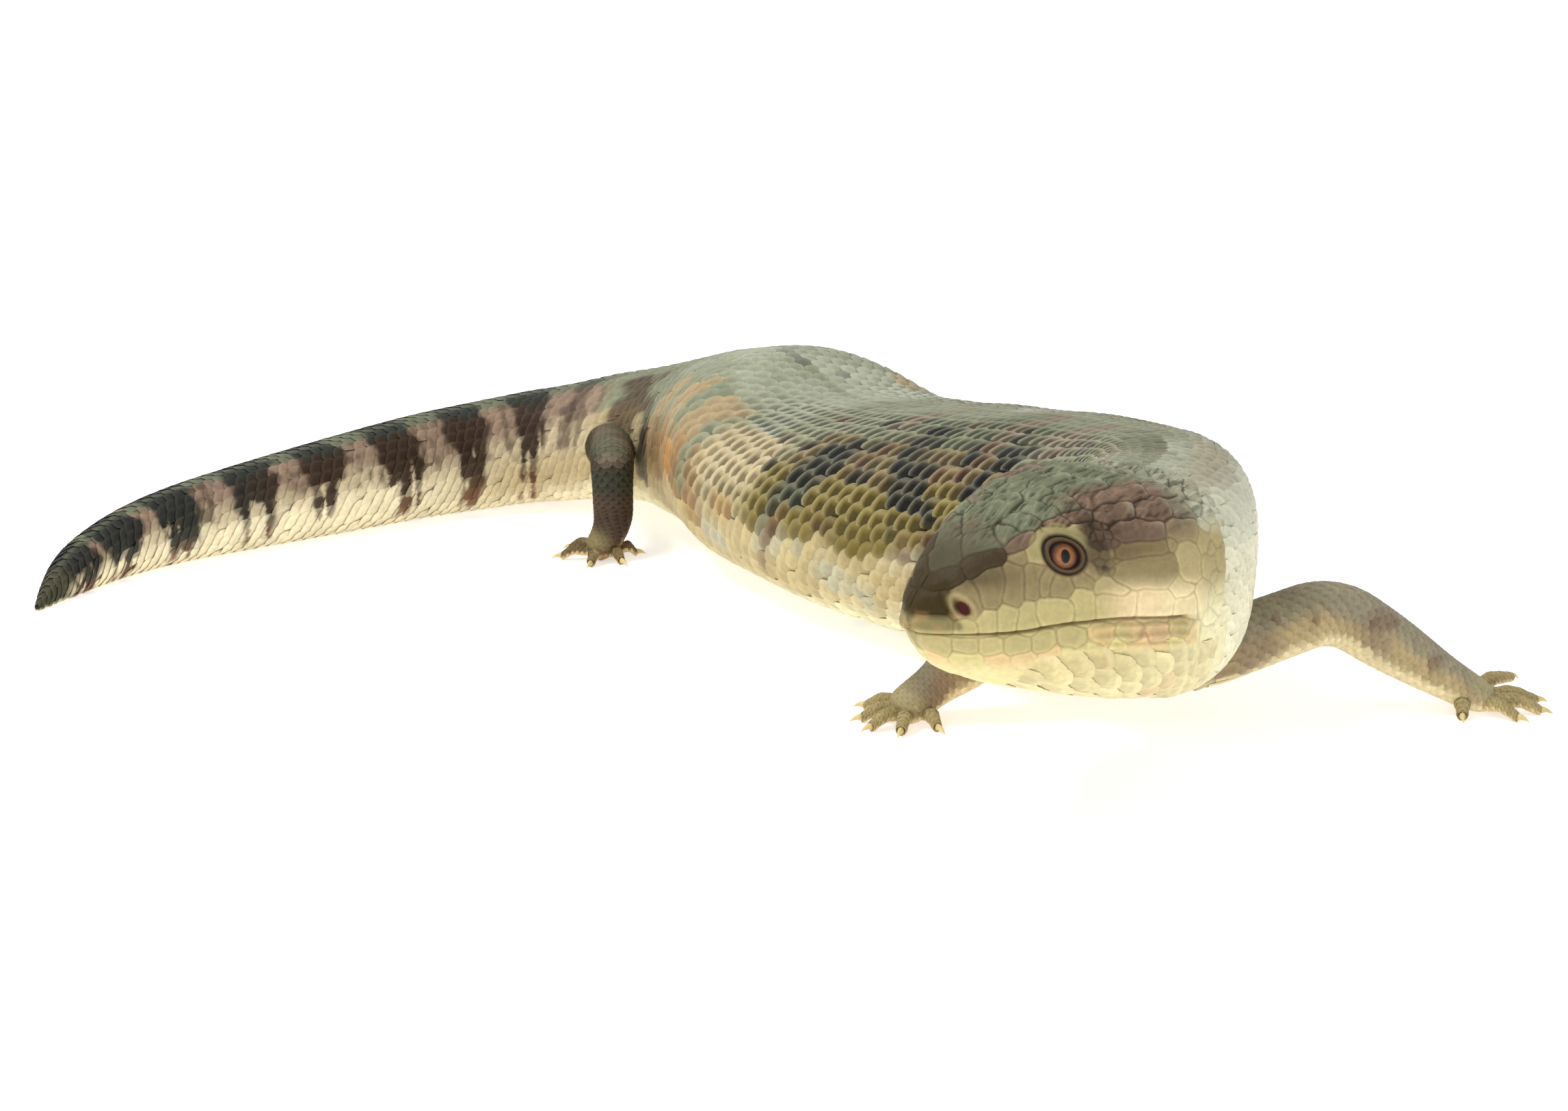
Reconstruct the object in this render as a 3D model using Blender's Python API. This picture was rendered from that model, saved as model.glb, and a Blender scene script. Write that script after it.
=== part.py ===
"""Blue tongued skink, life size, at rest on the floor with its head turned to its right.

The body is one smooth shape along a bent spine, parted by thin cuts into named lengths.
All sizes below are in millimetres. The origin is on the floor under the middle of the belly,
+Z is up, and the head end of the animal lies towards -Y.
"""

import math

import bmesh
import bpy
import numpy as np

MM = 0.001
CUT = 0.4            # width of the cut that parts two neighbouring nodes
CUTTER_MARGIN = 0.3  # how far a cutter stands off the piece that it clears

# ---------------------------------------------------------------- spine
# Distance forward of the hips, and the compass heading of the spine there in degrees.
SPINE_HEADINGS = (
    (-180, 87), (-122, 39), (-60, 39), (0, -21),
    (68, -60), (137, -62.5), (205, -64.5), (241, -143),
)
SPINE_ROUNDING = 8   # the headings are averaged over this distance each way
BELLY = 100          # distance forward of the hips at which the spine passes over the origin
NECK_END = 241
HEAD_TURN_START = 225    # from here on the sections turn from the spine's heading to the head's
TAIL_END = -180
SIDES = 24           # sides of a body section

# Distance forward of the hips, half width, half height, and lift of the underside.
BODY_SECTIONS = (
    (-180, 0.5, 0.5, 0.6), (-175, 1.9, 2.0, 0.3), (-160, 5.7, 5.6, 0), (-130, 9.5, 9.1, 0),
    (-90, 12.4, 11.8, 0), (-50, 14.5, 13.9, 0), (-20, 16.2, 15.3, 1.0), (0, 18.0, 16.9, 2.8),
    (12, 19.8, 18.1, 3.2), (25, 25.0, 20.8, 1.6), (40, 31.0, 23.6, 0.4), (55, 36.4, 25.2, 0),
    (85, 42.0, 22.0, 0), (115, 42.4, 23.4, 0), (145, 37.4, 25.4, 0.4), (175, 30.0, 25.8, 4.0),
    (205, 22.9, 25.1, 8.6), (226, 18.5, 22.4, 14.2), (241, 21.6, 20.6, 17.0),
)
BODY_SQUARENESS = 0.85   # 1 is an ellipse, less is boxier
HEAD_SQUARENESS = 0.62
SNOUT_SQUARENESS = 0.92
NECK_START = 198
BOXY_START = 165         # forward of here the body's sections grow as boxy as the head's
SINK = 0.7               # what lies lower than this under the section is cut flat on the floor

# ---------------------------------------------------------------- head
# Distance behind the snout, half width, top and bottom, measured from the front of the mouth.
HEAD_SECTIONS = (
    (-0.8, 0.5, 4.0, 1.8), (-0.2, 2.0, 5.6, -0.4), (2, 4.8, 8.4, -3.2), (5, 7.4, 11.4, -5.8),
    (10, 10.7, 15.2, -8.5), (20, 15.3, 20.2, -12.4), (32, 19.4, 22.8, -15.8),
    (42, 22.2, 23.2, -18.0), (50, 22.0, 21.8, -19.0),
)
HEAD_LENGTH = 50         # from the snout to the cut at the neck
HEAD_YAW = 37            # heading from the snout back to the neck
HEAD_ROLL = -2
MOUTH_HEIGHT = 36.6      # the front of the mouth above the floor
MOUTH_LINE = ((-6, 1.0), (12, 1.0), (22, 1.7), (30, 1.6), (38, 0.9), (46, 0))
MOUTH_CORNER = 45
HEAD_RINGS = 20
BOXY_FROM = 30           # the snout is rounder than the head behind this distance

MOUTH_CUT_DEPTH = 30     # how far the parting prism reaches below the mouth's front
MOUTH_CUT_REACH = 40     # and to each side

EYE_BACK = 23.4
EYE_SIDE = 11.7
EYE_UP = 12.5
EYE_RADIUS = 4.15
EYE_SEGMENTS, EYE_ROWS = 12, 8
SOCKET_GAP = 0.3

# ---------------------------------------------------------------- finishes
SAGE = (0.36, 0.38, 0.30)
OLIVE_TAN = (0.42, 0.36, 0.22)
CREAM = (0.72, 0.66, 0.42)
UMBER = (0.20, 0.13, 0.09)
CLAW_STRAW = (0.62, 0.52, 0.30)
AMBER = (0.50, 0.22, 0.08)

# ---------------------------------------------------------------- limbs
LIMB_SIDES = 12
LIMB_ROUNDING = 6        # a limb's axis is averaged over this distance each way
# Radii at the root, the middle of the upper limb, its joint, below it, and the wrist or ankle.
ARM_RADII = (7.0, 6.7, 6.5, 6.1, 4.9)
LEG_RADII = (8.0, 5.6, 5.3, 5.0, 4.8)
UPPER_MIDDLE = 0.6       # where the upper limb's second radius lies, as a share of its length
LOWER_BELLY = 0.4        # and the lower limb's
WRIST_FLATNESS = 0.85
PALM_HALF_WIDTH = 5.4
PALM_HALF_HEIGHT = 3.4
PALM_START = 1.0         # the palm is full size this far before its ball
PALM_NOSE = 2.4          # how far the palm runs on past its ball
PALM_ROUNDING = ((0.6, 0.8, 0.8), (1, 0.35, 0.4))   # share of the nose, of the width, of the height
DIGIT_SIDES = 8
DIGIT_RADII = (1.65, 1.5, 1.1)
DIGIT_BASE_HEIGHT = 2.3
DIGIT_BEND = 0.55        # where a digit's arch is, as a share of its reach
DIGIT_ARCH = 0.5
DIGIT_LAST = (0.65, 0.9)     # the ring before the tip: how far past the bend, and its radius
DIGIT_SINK = 0.95        # the tip's height over its radius, so that the digit rests on the floor
CLAW_LENGTH = 2.6
CLAW_RADII = (0.85, 0.6, 0.28)
CLAW_BEND = 0.55         # where a claw bends, as a share of its length
CLAW_RISE, CLAW_DROP = 0.15, 0.1
CLAW_SIDES = 6
LENGTH_RINGS, PALM_RINGS = 7, 6  # rings along a length of limb and along a palm
CHEST_SPAN = (150, NECK_END - 1)     # the lengths of the spine that clear the limbs' roots
HIP_SPAN = (-50, 50)

# Each limb: the length of trunk it roots in, its joints from the root inside the body to the
# ball of the palm, its radii, the part names, and its digits as (x and y of the base from the
# ball, heading, reach, lift).
LIMBS = {
    "left_arm": dict(
        trunk="chest", joints=((58, -95, 11), (89.5, -89.5, 21), (113.3, -92.8, 6.4), (120, -91.8, 2.8)),
        radii=ARM_RADII, colour=OLIVE_TAN, parts=("left_upper_arm", "left_forearm", "left_hand"),
        digits=((-4.0, -2.6, -103, 5.4, 0), (-1.2, -3.0, -38, 8.8, 0), (0, -1.6, -13, 12.0, 0),
                (0, 0.6, 6, 13.0, 0), (-0.8, 3.2, 32, 12.8, 2.2)),
    ),
    "right_arm": dict(
        trunk="chest", joints=((43, -90, 16), (19.5, -95.5, 16.5), (8.0, -97.3, 6.6), (2.2, -99.2, 2.9)),
        radii=ARM_RADII, colour=OLIVE_TAN, parts=("right_upper_arm", "right_forearm", "right_hand"),
        digits=((3.6, -2.4, 300, 5.0, 0), (0.6, -3.0, 252, 6.2, 0), (0, -1.6, 214, 8.6, 0),
                (0, 0.6, 192, 9.0, 0), (0.4, 3.0, 160, 8.8, 0)),
    ),
    "right_leg": dict(
        trunk="hips", joints=((-69, 64, 19), (-65.8, 22.5, 24.0), (-65.4, 18.2, 6.0), (-69.6, 17.4, 2.8)),
        radii=LEG_RADII, colour=UMBER, parts=("right_thigh", "right_shank", "right_foot"),
        digits=((5.4, 1.0, 20, 4.4, 0), (3.6, -1.8, 308, 4.6, 0), (0.6, -2.6, 252, 5.4, 0),
                (-0.8, -0.6, 182, 8.2, 0), (-0.4, 2.4, 146, 8.4, 0)),
    ),
    "left_leg": dict(
        trunk="hips", joints=((-62, 78, 19), (-35, 106, 24.0), (-29.5, 111, 6.0), (-23.6, 113.6, 2.8)),
        radii=LEG_RADII, colour=UMBER, parts=("left_thigh", "left_shank", "left_foot"),
        digits=((-2.8, -3.4, -42, 5.0, 0), (-0.6, -2.8, -4, 7.4, 0), (0, -1.0, 16, 9.6, 0),
                (0, 1.2, 34, 10.8, 0), (-0.6, 3.2, 72, 7.4, 0)),
    ),
}

# ---------------------------------------------------------------- node lengths along the spine
SPINE_NODES = (
    ("tail_tip", -180, -122), ("tail_middle", -122, -64), ("tail_base", -64, -8),
    ("trunk_rear", -8, 60), ("trunk_middle", 60, 130), ("trunk_front", 130, NECK_START),
    ("neck", NECK_START, NECK_END),
)
RING_SPACING = {"tail_tip": 6.0, "neck": 4.5}
TRUNK_SPACING = 7.5      # also that of the rest of the tail


def smooth_profile(points):
    """A curve through the points that never overshoots them; the first column is the place."""
    table = np.array(points, float)
    place = table[:, 0]
    values = table[:, 1:]
    step = np.diff(place)[:, None]
    slope = np.diff(values, axis=0) / step
    tangent = np.zeros_like(values)
    tangent[0] = slope[0]
    tangent[-1] = slope[-1]
    before, after = slope[:-1], slope[1:]
    mean = 2 * before * after / np.where(before + after == 0, 1, before + after)
    tangent[1:-1] = np.where(before * after > 0, mean, 0)

    def at(where):
        where = np.clip(np.atleast_1d(np.asarray(where, float)), place[0], place[-1])
        i = np.clip(np.searchsorted(place, where, "right") - 1, 0, len(step) - 1)
        t = ((where - place[i]) / step[i, 0])[:, None]
        h = step[i]
        start = (1 + 2 * t) * (1 - t) ** 2 * values[i] + t * (1 - t) ** 2 * h * tangent[i]
        end = t * t * (3 - 2 * t) * values[i + 1] + t * t * (t - 1) * h * tangent[i + 1]
        return start + end

    return at


body_size = smooth_profile(BODY_SECTIONS)
head_size = smooth_profile(HEAD_SECTIONS)


def spine_heading(distance):
    """Heading of the spine in radians, rounded off between the stations."""
    place, heading = np.array(SPINE_HEADINGS, float).T
    offsets = np.linspace(-SPINE_ROUNDING, SPINE_ROUNDING, 11)
    mean = np.mean([np.interp(distance + o, place, heading) for o in offsets], axis=0)
    return np.radians(mean)


def section_heading(distance):
    """The way a section faces: along the spine, and eased into the head's way at the neck."""
    ease = np.clip((distance - HEAD_TURN_START) / (NECK_END - HEAD_TURN_START), 0, 1) ** 2
    turn = math.radians(HEAD_YAW - 180) - spine_heading(NECK_END)
    return spine_heading(distance) + turn * ease


def spine_path():
    """Position of the spine's floor line at every millimetre from tail to neck."""
    distance = np.arange(TAIL_END, NECK_END + 1.0)
    heading = spine_heading(distance)
    steps = np.column_stack([np.cos(heading), np.sin(heading)])
    line = np.vstack([[0, 0], np.cumsum((steps[1:] + steps[:-1]) / 2, axis=0)])
    return distance, line - line[BELLY - TAIL_END]


SPINE_PLACES, SPINE_LINE = spine_path()


def spine_point(distance):
    return np.array([np.interp(distance, SPINE_PLACES, SPINE_LINE[:, k]) for k in (0, 1)])


def box_round(angle, squareness):
    """Unit section: an ellipse made boxier as the squareness falls below 1."""
    c, s = np.cos(angle), np.sin(angle)
    return np.sign(c) * np.abs(c) ** squareness, np.sign(s) * np.abs(s) ** squareness


def body_ring(distance, margin=0.0):
    """One closed section of the body, square to the spine, cut flat at the floor."""
    half_width, half_height, lift = body_size(distance)[0]
    blend = np.clip((distance - BOXY_START) / (NECK_END - BOXY_START), 0, 1)
    squareness = BODY_SQUARENESS + (HEAD_SQUARENESS - BODY_SQUARENESS) * blend
    angle = np.linspace(0, 2 * math.pi, SIDES, endpoint=False)
    side, up = box_round(angle, squareness)
    x, y = spine_point(distance)
    heading = section_heading(distance)
    side = side * (half_width + margin)
    height = half_height + lift + up * (half_height + margin)
    if lift < SINK:
        height = height - (SINK - lift)
    height = np.maximum(height, -margin)
    return np.column_stack([x - math.sin(heading) * side, y + math.cos(heading) * side, height])


def head_frame():
    """Rotation and place of the head: its x runs back from the snout, its z up."""
    yaw, roll = math.radians(HEAD_YAW), math.radians(HEAD_ROLL)
    turn = np.array([[math.cos(yaw), -math.sin(yaw), 0], [math.sin(yaw), math.cos(yaw), 0], [0, 0, 1]])
    lean = np.array([[1, 0, 0], [0, math.cos(roll), -math.sin(roll)], [0, math.sin(roll), math.cos(roll)]])
    neck_x, neck_y = spine_point(NECK_END)
    back = np.array([math.cos(yaw), math.sin(yaw)]) * HEAD_LENGTH
    return turn @ lean, np.array([neck_x - back[0], neck_y - back[1], MOUTH_HEIGHT])


HEAD_TURN, HEAD_PLACE = head_frame()


def on_head(points):
    return np.asarray(points, float) @ HEAD_TURN.T + HEAD_PLACE


def head_ring(back):
    """One section of the head. Half width, top and bottom come from the head's table."""
    half_width, top, bottom = head_size(back)[0]
    angle = np.linspace(0, 2 * math.pi, SIDES, endpoint=False)
    squareness = np.interp(back, (0, BOXY_FROM), (SNOUT_SQUARENESS, HEAD_SQUARENESS))
    side, up = box_round(angle, squareness)
    height = (top + bottom) / 2 + up * (top - bottom) / 2
    return on_head(np.column_stack([np.full(SIDES, back), side * half_width, height]))


def finish(colour, roughness=0.55):
    """A plain Principled material, made once for each colour."""
    name = "finish_%02d_%02d_%02d" % tuple(round(c * 99) for c in colour)
    material = bpy.data.materials.get(name) or bpy.data.materials.new(name)
    material.use_nodes = True
    shader = material.node_tree.nodes["Principled BSDF"]
    shader.inputs["Base Color"].default_value = (*colour, 1)
    shader.inputs["Roughness"].default_value = roughness
    shader.inputs["Metallic"].default_value = 0
    return material


def make_object(name, bm, colour=None, cutter=False):
    """Turns a bmesh in millimetres into an object in metres."""
    bmesh.ops.scale(bm, vec=(MM, MM, MM), verts=bm.verts)
    bmesh.ops.recalc_face_normals(bm, faces=bm.faces)
    mesh = bpy.data.meshes.new(name)
    bm.to_mesh(mesh)
    bm.free()
    obj = bpy.data.objects.new(name, mesh)
    bpy.context.scene.collection.objects.link(obj)
    if cutter:
        obj.hide_render = True
        obj.display_type = "WIRE"
    else:
        mesh.shade_smooth()
        mesh.materials.append(finish(colour))
    return obj


def loft(rings):
    """A closed solid through equal rings, with flat caps at both ends."""
    bm = bmesh.new()
    rows = [[bm.verts.new(point) for point in ring] for ring in rings]
    count = len(rows[0])
    for near, far in zip(rows, rows[1:]):
        for i in range(count):
            j = (i + 1) % count
            bm.faces.new((near[i], near[j], far[j], far[i]))
    bm.faces.new(rows[0])
    bm.faces.new(rows[-1])
    return bm


def boolean(obj, other, operation):
    modifier = obj.modifiers.new(operation.lower(), "BOOLEAN")
    modifier.object = other
    modifier.operation = operation


def spine_nodes():
    """Tail, trunk and neck lengths, parted square to the spine."""
    for name, start, end in SPINE_NODES:
        near = start + (0 if start == TAIL_END else CUT / 2)
        far = end - CUT / 2
        spacing = RING_SPACING.get(name, TRUNK_SPACING)
        stations = np.linspace(near, far, max(2, round((far - near) / spacing) + 1))
        if start == TAIL_END:
            stations = np.concatenate([[near, near + 1, near + 2.5], stations[1:]])
        make_object(name, loft([body_ring(s) for s in stations]), SAGE)


def mouth_prism(name, shift, corner):
    """Everything below the mouth line, forward of the mouth's corner."""
    line = [(x, z + shift) for x, z in MOUTH_LINE if x < corner]
    corner_height = smooth_profile(MOUTH_LINE)(corner)[0, 0] + shift
    outline = [*line, (corner, corner_height), (corner, -MOUTH_CUT_DEPTH), (line[0][0], -MOUTH_CUT_DEPTH)]
    bm = bmesh.new()
    walls = []
    for side in (-MOUTH_CUT_REACH, MOUTH_CUT_REACH):
        places = on_head([(x, side, z) for x, z in outline])
        walls.append([bm.verts.new(place) for place in places])
    for wall in walls:
        bm.faces.new(wall)
    for i in range(len(outline)):
        j = (i + 1) % len(outline)
        bm.faces.new((walls[0][i], walls[0][j], walls[1][j], walls[1][i]))
    return make_object(name, bm, cutter=True)


def ball(centre, radius):
    bm = bmesh.new()
    bmesh.ops.create_uvsphere(bm, u_segments=EYE_SEGMENTS, v_segments=EYE_ROWS, radius=radius)
    bmesh.ops.translate(bm, verts=bm.verts, vec=centre)
    return bm


def head_nodes():
    """Head and lower jaw, parted along the mouth, with the two eyes in their sockets."""
    whole = np.array([row[0] for row in HEAD_SECTIONS])
    first = whole[0]
    spread = np.linspace(0, 1, HEAD_RINGS) ** 1.6
    stations = first + (HEAD_LENGTH - CUT / 2 - first) * spread
    rings = [head_ring(s) for s in stations]
    head = make_object("head", loft(rings), OLIVE_TAN)
    jaw = make_object("lower_jaw", loft(rings), CREAM)
    boolean(head, mouth_prism("above_mouth", CUT / 2, MOUTH_CORNER + CUT / 2), "DIFFERENCE")
    boolean(jaw, mouth_prism("below_mouth", -CUT / 2, MOUTH_CORNER - CUT / 2), "INTERSECT")
    for name, side in (("left_eye", -EYE_SIDE), ("right_eye", EYE_SIDE)):
        centre = on_head([(EYE_BACK, side, EYE_UP)])[0]
        make_object(name, ball(centre, EYE_RADIUS), AMBER)
        socket = make_object(name + "_socket", ball(centre, EYE_RADIUS + SOCKET_GAP), cutter=True)
        boolean(head, socket, "DIFFERENCE")


class LimbPath:
    """A limb's bent axis, rounded at its joints, with its distance marks at them."""

    def __init__(self, joints):
        self.joints = np.array(joints, float)
        first = self.joints[0] - (self.joints[1] - self.joints[0])
        last = self.joints[-1] + (self.joints[-1] - self.joints[-2])
        self.corners = np.vstack([first, self.joints, last])
        lengths = np.linalg.norm(np.diff(self.corners, axis=0), axis=1)
        self.places = np.concatenate([[0], np.cumsum(lengths)]) - lengths[0]
        self.marks = self.places[1:-1]

    def sharp(self, distance):
        return np.array([np.interp(distance, self.places, self.corners[:, k]) for k in range(3)])

    def point(self, distance):
        offsets = np.linspace(-LIMB_ROUNDING, LIMB_ROUNDING, 9)
        return np.mean([self.sharp(distance + o) for o in offsets], axis=0)

    def ring(self, distance, facing, half_width, half_height, sides):
        """A section at a distance, square to the axis as it runs at the facing distance."""
        ahead = self.point(facing + 0.5) - self.point(facing - 0.5)
        ahead = ahead / np.linalg.norm(ahead)
        side = np.cross((0, 0, 1), ahead)
        side = side / np.linalg.norm(side)
        up = np.cross(ahead, side)
        angle = np.linspace(0, 2 * math.pi, sides, endpoint=False)[:, None]
        ring = self.point(distance) + np.cos(angle) * half_width * side + np.sin(angle) * half_height * up
        ring[:, 2] = np.maximum(ring[:, 2], 0)
        return ring


def limb_sizes(path, radii):
    """Half width and half height along a limb, from its root to the nose of its palm."""
    root, joint, wrist, ball_mark = path.marks
    upper, lower = joint - root, wrist - joint
    return smooth_profile((
        (root, radii[0], radii[0]),
        (root + upper * UPPER_MIDDLE, radii[1], radii[1]),
        (joint, radii[2], radii[2]),
        (joint + lower * LOWER_BELLY, radii[3], radii[3]),
        (wrist, radii[4], radii[4] * WRIST_FLATNESS),
        (ball_mark - PALM_START, PALM_HALF_WIDTH, PALM_HALF_HEIGHT),
        *((ball_mark + PALM_NOSE * nose, PALM_HALF_WIDTH * width, PALM_HALF_HEIGHT * height)
          for nose, width, height in PALM_ROUNDING),
    ))


def limb_length(name, path, sizes, start, end, count, colour):
    """One length of a limb, parted by half a cut from what lies before its start and past its end."""
    facings = np.linspace(start, end, count)
    stations = np.linspace(start + CUT / 2, end - CUT / 2, count)
    rings = [path.ring(s, f, *sizes(s)[0], LIMB_SIDES) for s, f in zip(stations, facings)]
    return make_object(name, loft(rings), colour)


def digit_axis(ball_place, digit):
    """Three points along a digit: its base in the palm, its arched middle and its tip."""
    along_x, along_y, heading, reach, lift = digit
    ahead = np.array([math.cos(math.radians(heading)), math.sin(math.radians(heading)), 0])
    base = np.array([ball_place[0] + along_x, ball_place[1] + along_y, DIGIT_BASE_HEIGHT])
    middle = base + ahead * reach * DIGIT_BEND + (0, 0, DIGIT_ARCH + lift / 2)
    tip = base + ahead * reach
    tip[2] = DIGIT_RADII[2] * DIGIT_SINK + lift
    return base, middle, tip


def tube_ring(centre, ahead, radius, sides):
    ahead = ahead / np.linalg.norm(ahead)
    side = np.cross((0, 0, 1), ahead)
    side = side / np.linalg.norm(side)
    up = np.cross(ahead, side)
    angle = np.linspace(0, 2 * math.pi, sides, endpoint=False)[:, None]
    ring = centre + radius * (np.cos(angle) * side + np.sin(angle) * up)
    ring[:, 2] = np.maximum(ring[:, 2], 0)
    return ring


def digit_and_claw(name, ball_place, digit, foot):
    """A digit joined to its palm, and its claw as a node of its own."""
    base, middle, tip = digit_axis(ball_place, digit)
    flat = (tip - base) * (1, 1, 0)
    flat = flat / np.linalg.norm(flat)
    share, slimness = DIGIT_LAST
    last = middle + (tip - middle) * share
    rings = [
        tube_ring(base, middle - base, DIGIT_RADII[0], DIGIT_SIDES),
        tube_ring(middle, tip - base, DIGIT_RADII[1], DIGIT_SIDES),
        tube_ring(last, tip - middle, DIGIT_RADII[1] * slimness, DIGIT_SIDES),
        tube_ring(tip, flat, DIGIT_RADII[2], DIGIT_SIDES),
    ]
    boolean(foot, make_object(name + "_solid", loft(rings), cutter=True), "UNION")
    start = tip + flat * CUT + (0, 0, CLAW_RISE)
    bend = start + flat * CLAW_LENGTH * CLAW_BEND - (0, 0, CLAW_DROP)
    point = start + flat * CLAW_LENGTH
    point[2] = CLAW_RADII[2] + tip[2] - DIGIT_RADII[2] * DIGIT_SINK
    claw = [
        tube_ring(start, flat, CLAW_RADII[0], CLAW_SIDES),
        tube_ring(bend, point - start, CLAW_RADII[1], CLAW_SIDES),
        tube_ring(point, flat, CLAW_RADII[2], CLAW_SIDES),
    ]
    make_object(name, loft(claw), CLAW_STRAW)


def body_cutter(name, start, end):
    """The body's own shape, a little larger, which clears the limbs' roots."""
    stations = np.linspace(start, end, round((end - start) / TRUNK_SPACING) + 1)
    return make_object(name, loft([body_ring(s, CUTTER_MARGIN) for s in stations]), cutter=True)


def limb_nodes():
    """Four limbs, each an upper length, a lower length, and a palm with its digits and claws."""
    cutters = {
        "chest": body_cutter("chest_clearance", *CHEST_SPAN),
        "hips": body_cutter("hip_clearance", *HIP_SPAN),
    }
    for limb in LIMBS.values():
        path = LimbPath(limb["joints"])
        sizes = limb_sizes(path, limb["radii"])
        root, joint, wrist, ball_mark = path.marks
        upper_name, lower_name, foot_name = limb["parts"]
        colour = limb["colour"]
        upper = limb_length(upper_name, path, sizes, root, joint, LENGTH_RINGS, colour)
        lower = limb_length(lower_name, path, sizes, joint, wrist, LENGTH_RINGS, colour)
        for piece in (upper, lower):
            boolean(piece, cutters[limb["trunk"]], "DIFFERENCE")
        foot = limb_length(foot_name, path, sizes, wrist, ball_mark + PALM_NOSE, PALM_RINGS, colour)
        for number, digit in enumerate(limb["digits"], 1):
            digit_and_claw("%s_claw_%d" % (foot_name, number), limb["joints"][-1], digit, foot)


def main():
    for obj in list(bpy.data.objects):
        bpy.data.objects.remove(obj)
    spine_nodes()
    head_nodes()
    limb_nodes()


main()
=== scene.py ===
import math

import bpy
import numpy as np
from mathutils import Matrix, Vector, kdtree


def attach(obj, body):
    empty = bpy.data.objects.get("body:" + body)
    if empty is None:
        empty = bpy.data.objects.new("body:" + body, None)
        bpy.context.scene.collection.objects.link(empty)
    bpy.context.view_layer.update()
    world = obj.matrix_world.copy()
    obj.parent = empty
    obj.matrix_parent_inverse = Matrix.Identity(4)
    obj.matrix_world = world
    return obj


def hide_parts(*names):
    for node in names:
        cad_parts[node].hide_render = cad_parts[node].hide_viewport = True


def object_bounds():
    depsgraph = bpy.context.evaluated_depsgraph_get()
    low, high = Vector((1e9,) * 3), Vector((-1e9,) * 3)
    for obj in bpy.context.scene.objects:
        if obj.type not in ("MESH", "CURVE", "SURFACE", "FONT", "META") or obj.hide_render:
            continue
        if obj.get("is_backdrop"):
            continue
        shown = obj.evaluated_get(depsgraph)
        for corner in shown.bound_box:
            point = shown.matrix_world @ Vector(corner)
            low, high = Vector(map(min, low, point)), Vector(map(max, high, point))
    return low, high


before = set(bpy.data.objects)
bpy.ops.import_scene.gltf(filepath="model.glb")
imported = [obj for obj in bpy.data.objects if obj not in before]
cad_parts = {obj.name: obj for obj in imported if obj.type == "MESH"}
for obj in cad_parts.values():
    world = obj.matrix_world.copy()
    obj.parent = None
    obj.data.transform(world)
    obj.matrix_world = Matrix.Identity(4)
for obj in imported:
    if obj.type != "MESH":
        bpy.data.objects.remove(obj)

# Blue tongued skink, a life-size still model. One skin stands for all the flesh; the head shields,
# the scales of the body, limbs and digits, the eyes and the claws are pieces laid over it.
# Lengths are in millimetres until a mesh is made. The body is one surface with two coordinates:
# q runs back from the snout (0..50 is the head, 471 the tail's tip) and u runs round the body from the
# middle of the back (0) over the animal's right to the belly (0.5).

CAD_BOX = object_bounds()
MM = 0.001
rng = np.random.default_rng(7)


def linked(name, data):
    """A new object in the scene."""
    obj = bpy.data.objects.new(name, data)
    bpy.context.scene.collection.objects.link(obj)
    return obj


# ---------------------------------------------------------------- camera
camera_data = bpy.data.cameras.new("camera")
camera_data.lens = 50
camera_data.sensor_width = 36
camera = linked("camera", camera_data)
camera.location = (-0.0223, -0.5132, 0.155)
camera.rotation_euler = (math.radians(73.8), 0, 0)
bpy.context.scene.camera = camera
bpy.context.scene.view_settings.view_transform = "Standard"

# ---------------------------------------------------------------- shapes shared with the solids
# A place along the spine counts from the hips, forward to the neck's end and back to the tail's tip.
SPINE_HEADINGS = (   # place, heading in degrees
    (-180, 87), (-122, 39), (-60, 39), (0, -21),
    (68, -60), (137, -62.5), (205, -64.5), (241, -143),
)
NECK_END, TAIL_END, BELLY = 241, -180, 100
HEADING_REACH, HEAD_TURN_START = 8, 225   # the heading's rounding; where sections start to turn with the head
BODY_SECTIONS = (   # place, half width, half height, height of the underside
    (-180, 0.5, 0.5, 0.6), (-175, 1.9, 2.0, 0.3), (-160, 5.7, 5.6, 0), (-130, 9.5, 9.1, 0),
    (-90, 12.4, 11.8, 0), (-50, 14.5, 13.9, 0), (-20, 16.2, 15.3, 1.0), (0, 18.0, 16.9, 2.8),
    (12, 19.8, 18.1, 3.2), (25, 25.0, 20.8, 1.6), (40, 31.0, 23.6, 0.4), (55, 36.4, 25.2, 0),
    (85, 42.0, 22.0, 0), (115, 42.4, 23.4, 0), (145, 37.4, 25.4, 0.4), (175, 30.0, 25.8, 4.0),
    (205, 22.9, 25.1, 8.6), (226, 18.5, 22.4, 14.2), (241, 21.6, 20.6, 17.0),
)
HEAD_SECTIONS = (   # place from the snout, half width, top, bottom
    (-0.8, 0.5, 4.0, 1.8), (-0.2, 2.0, 5.6, -0.4), (2, 4.8, 8.4, -3.2), (5, 7.4, 11.4, -5.8),
    (10, 10.7, 15.2, -8.5), (20, 15.3, 20.2, -12.4), (32, 19.4, 22.8, -15.8),
    (42, 22.2, 23.2, -18.0), (50, 22.0, 21.8, -19.0),
)
SNOUT_TIP = -0.8
NECK_START, TRUNK_POWER, NECK_POWER, SNOUT_POWER = 165, 0.85, 0.62, 0.92   # powers of a section's outline
FLOOR_SINK = 0.7   # how deep a part that touches the floor is cut by it
MOUTH_LINE = ((-6, 1.0), (12, 1.0), (22, 1.7), (30, 1.6), (38, 0.9), (46, 0))
HEAD_LENGTH, HEAD_YAW, HEAD_ROLL, MOUTH_HEIGHT = 50, 37, -2, 36.6
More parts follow.
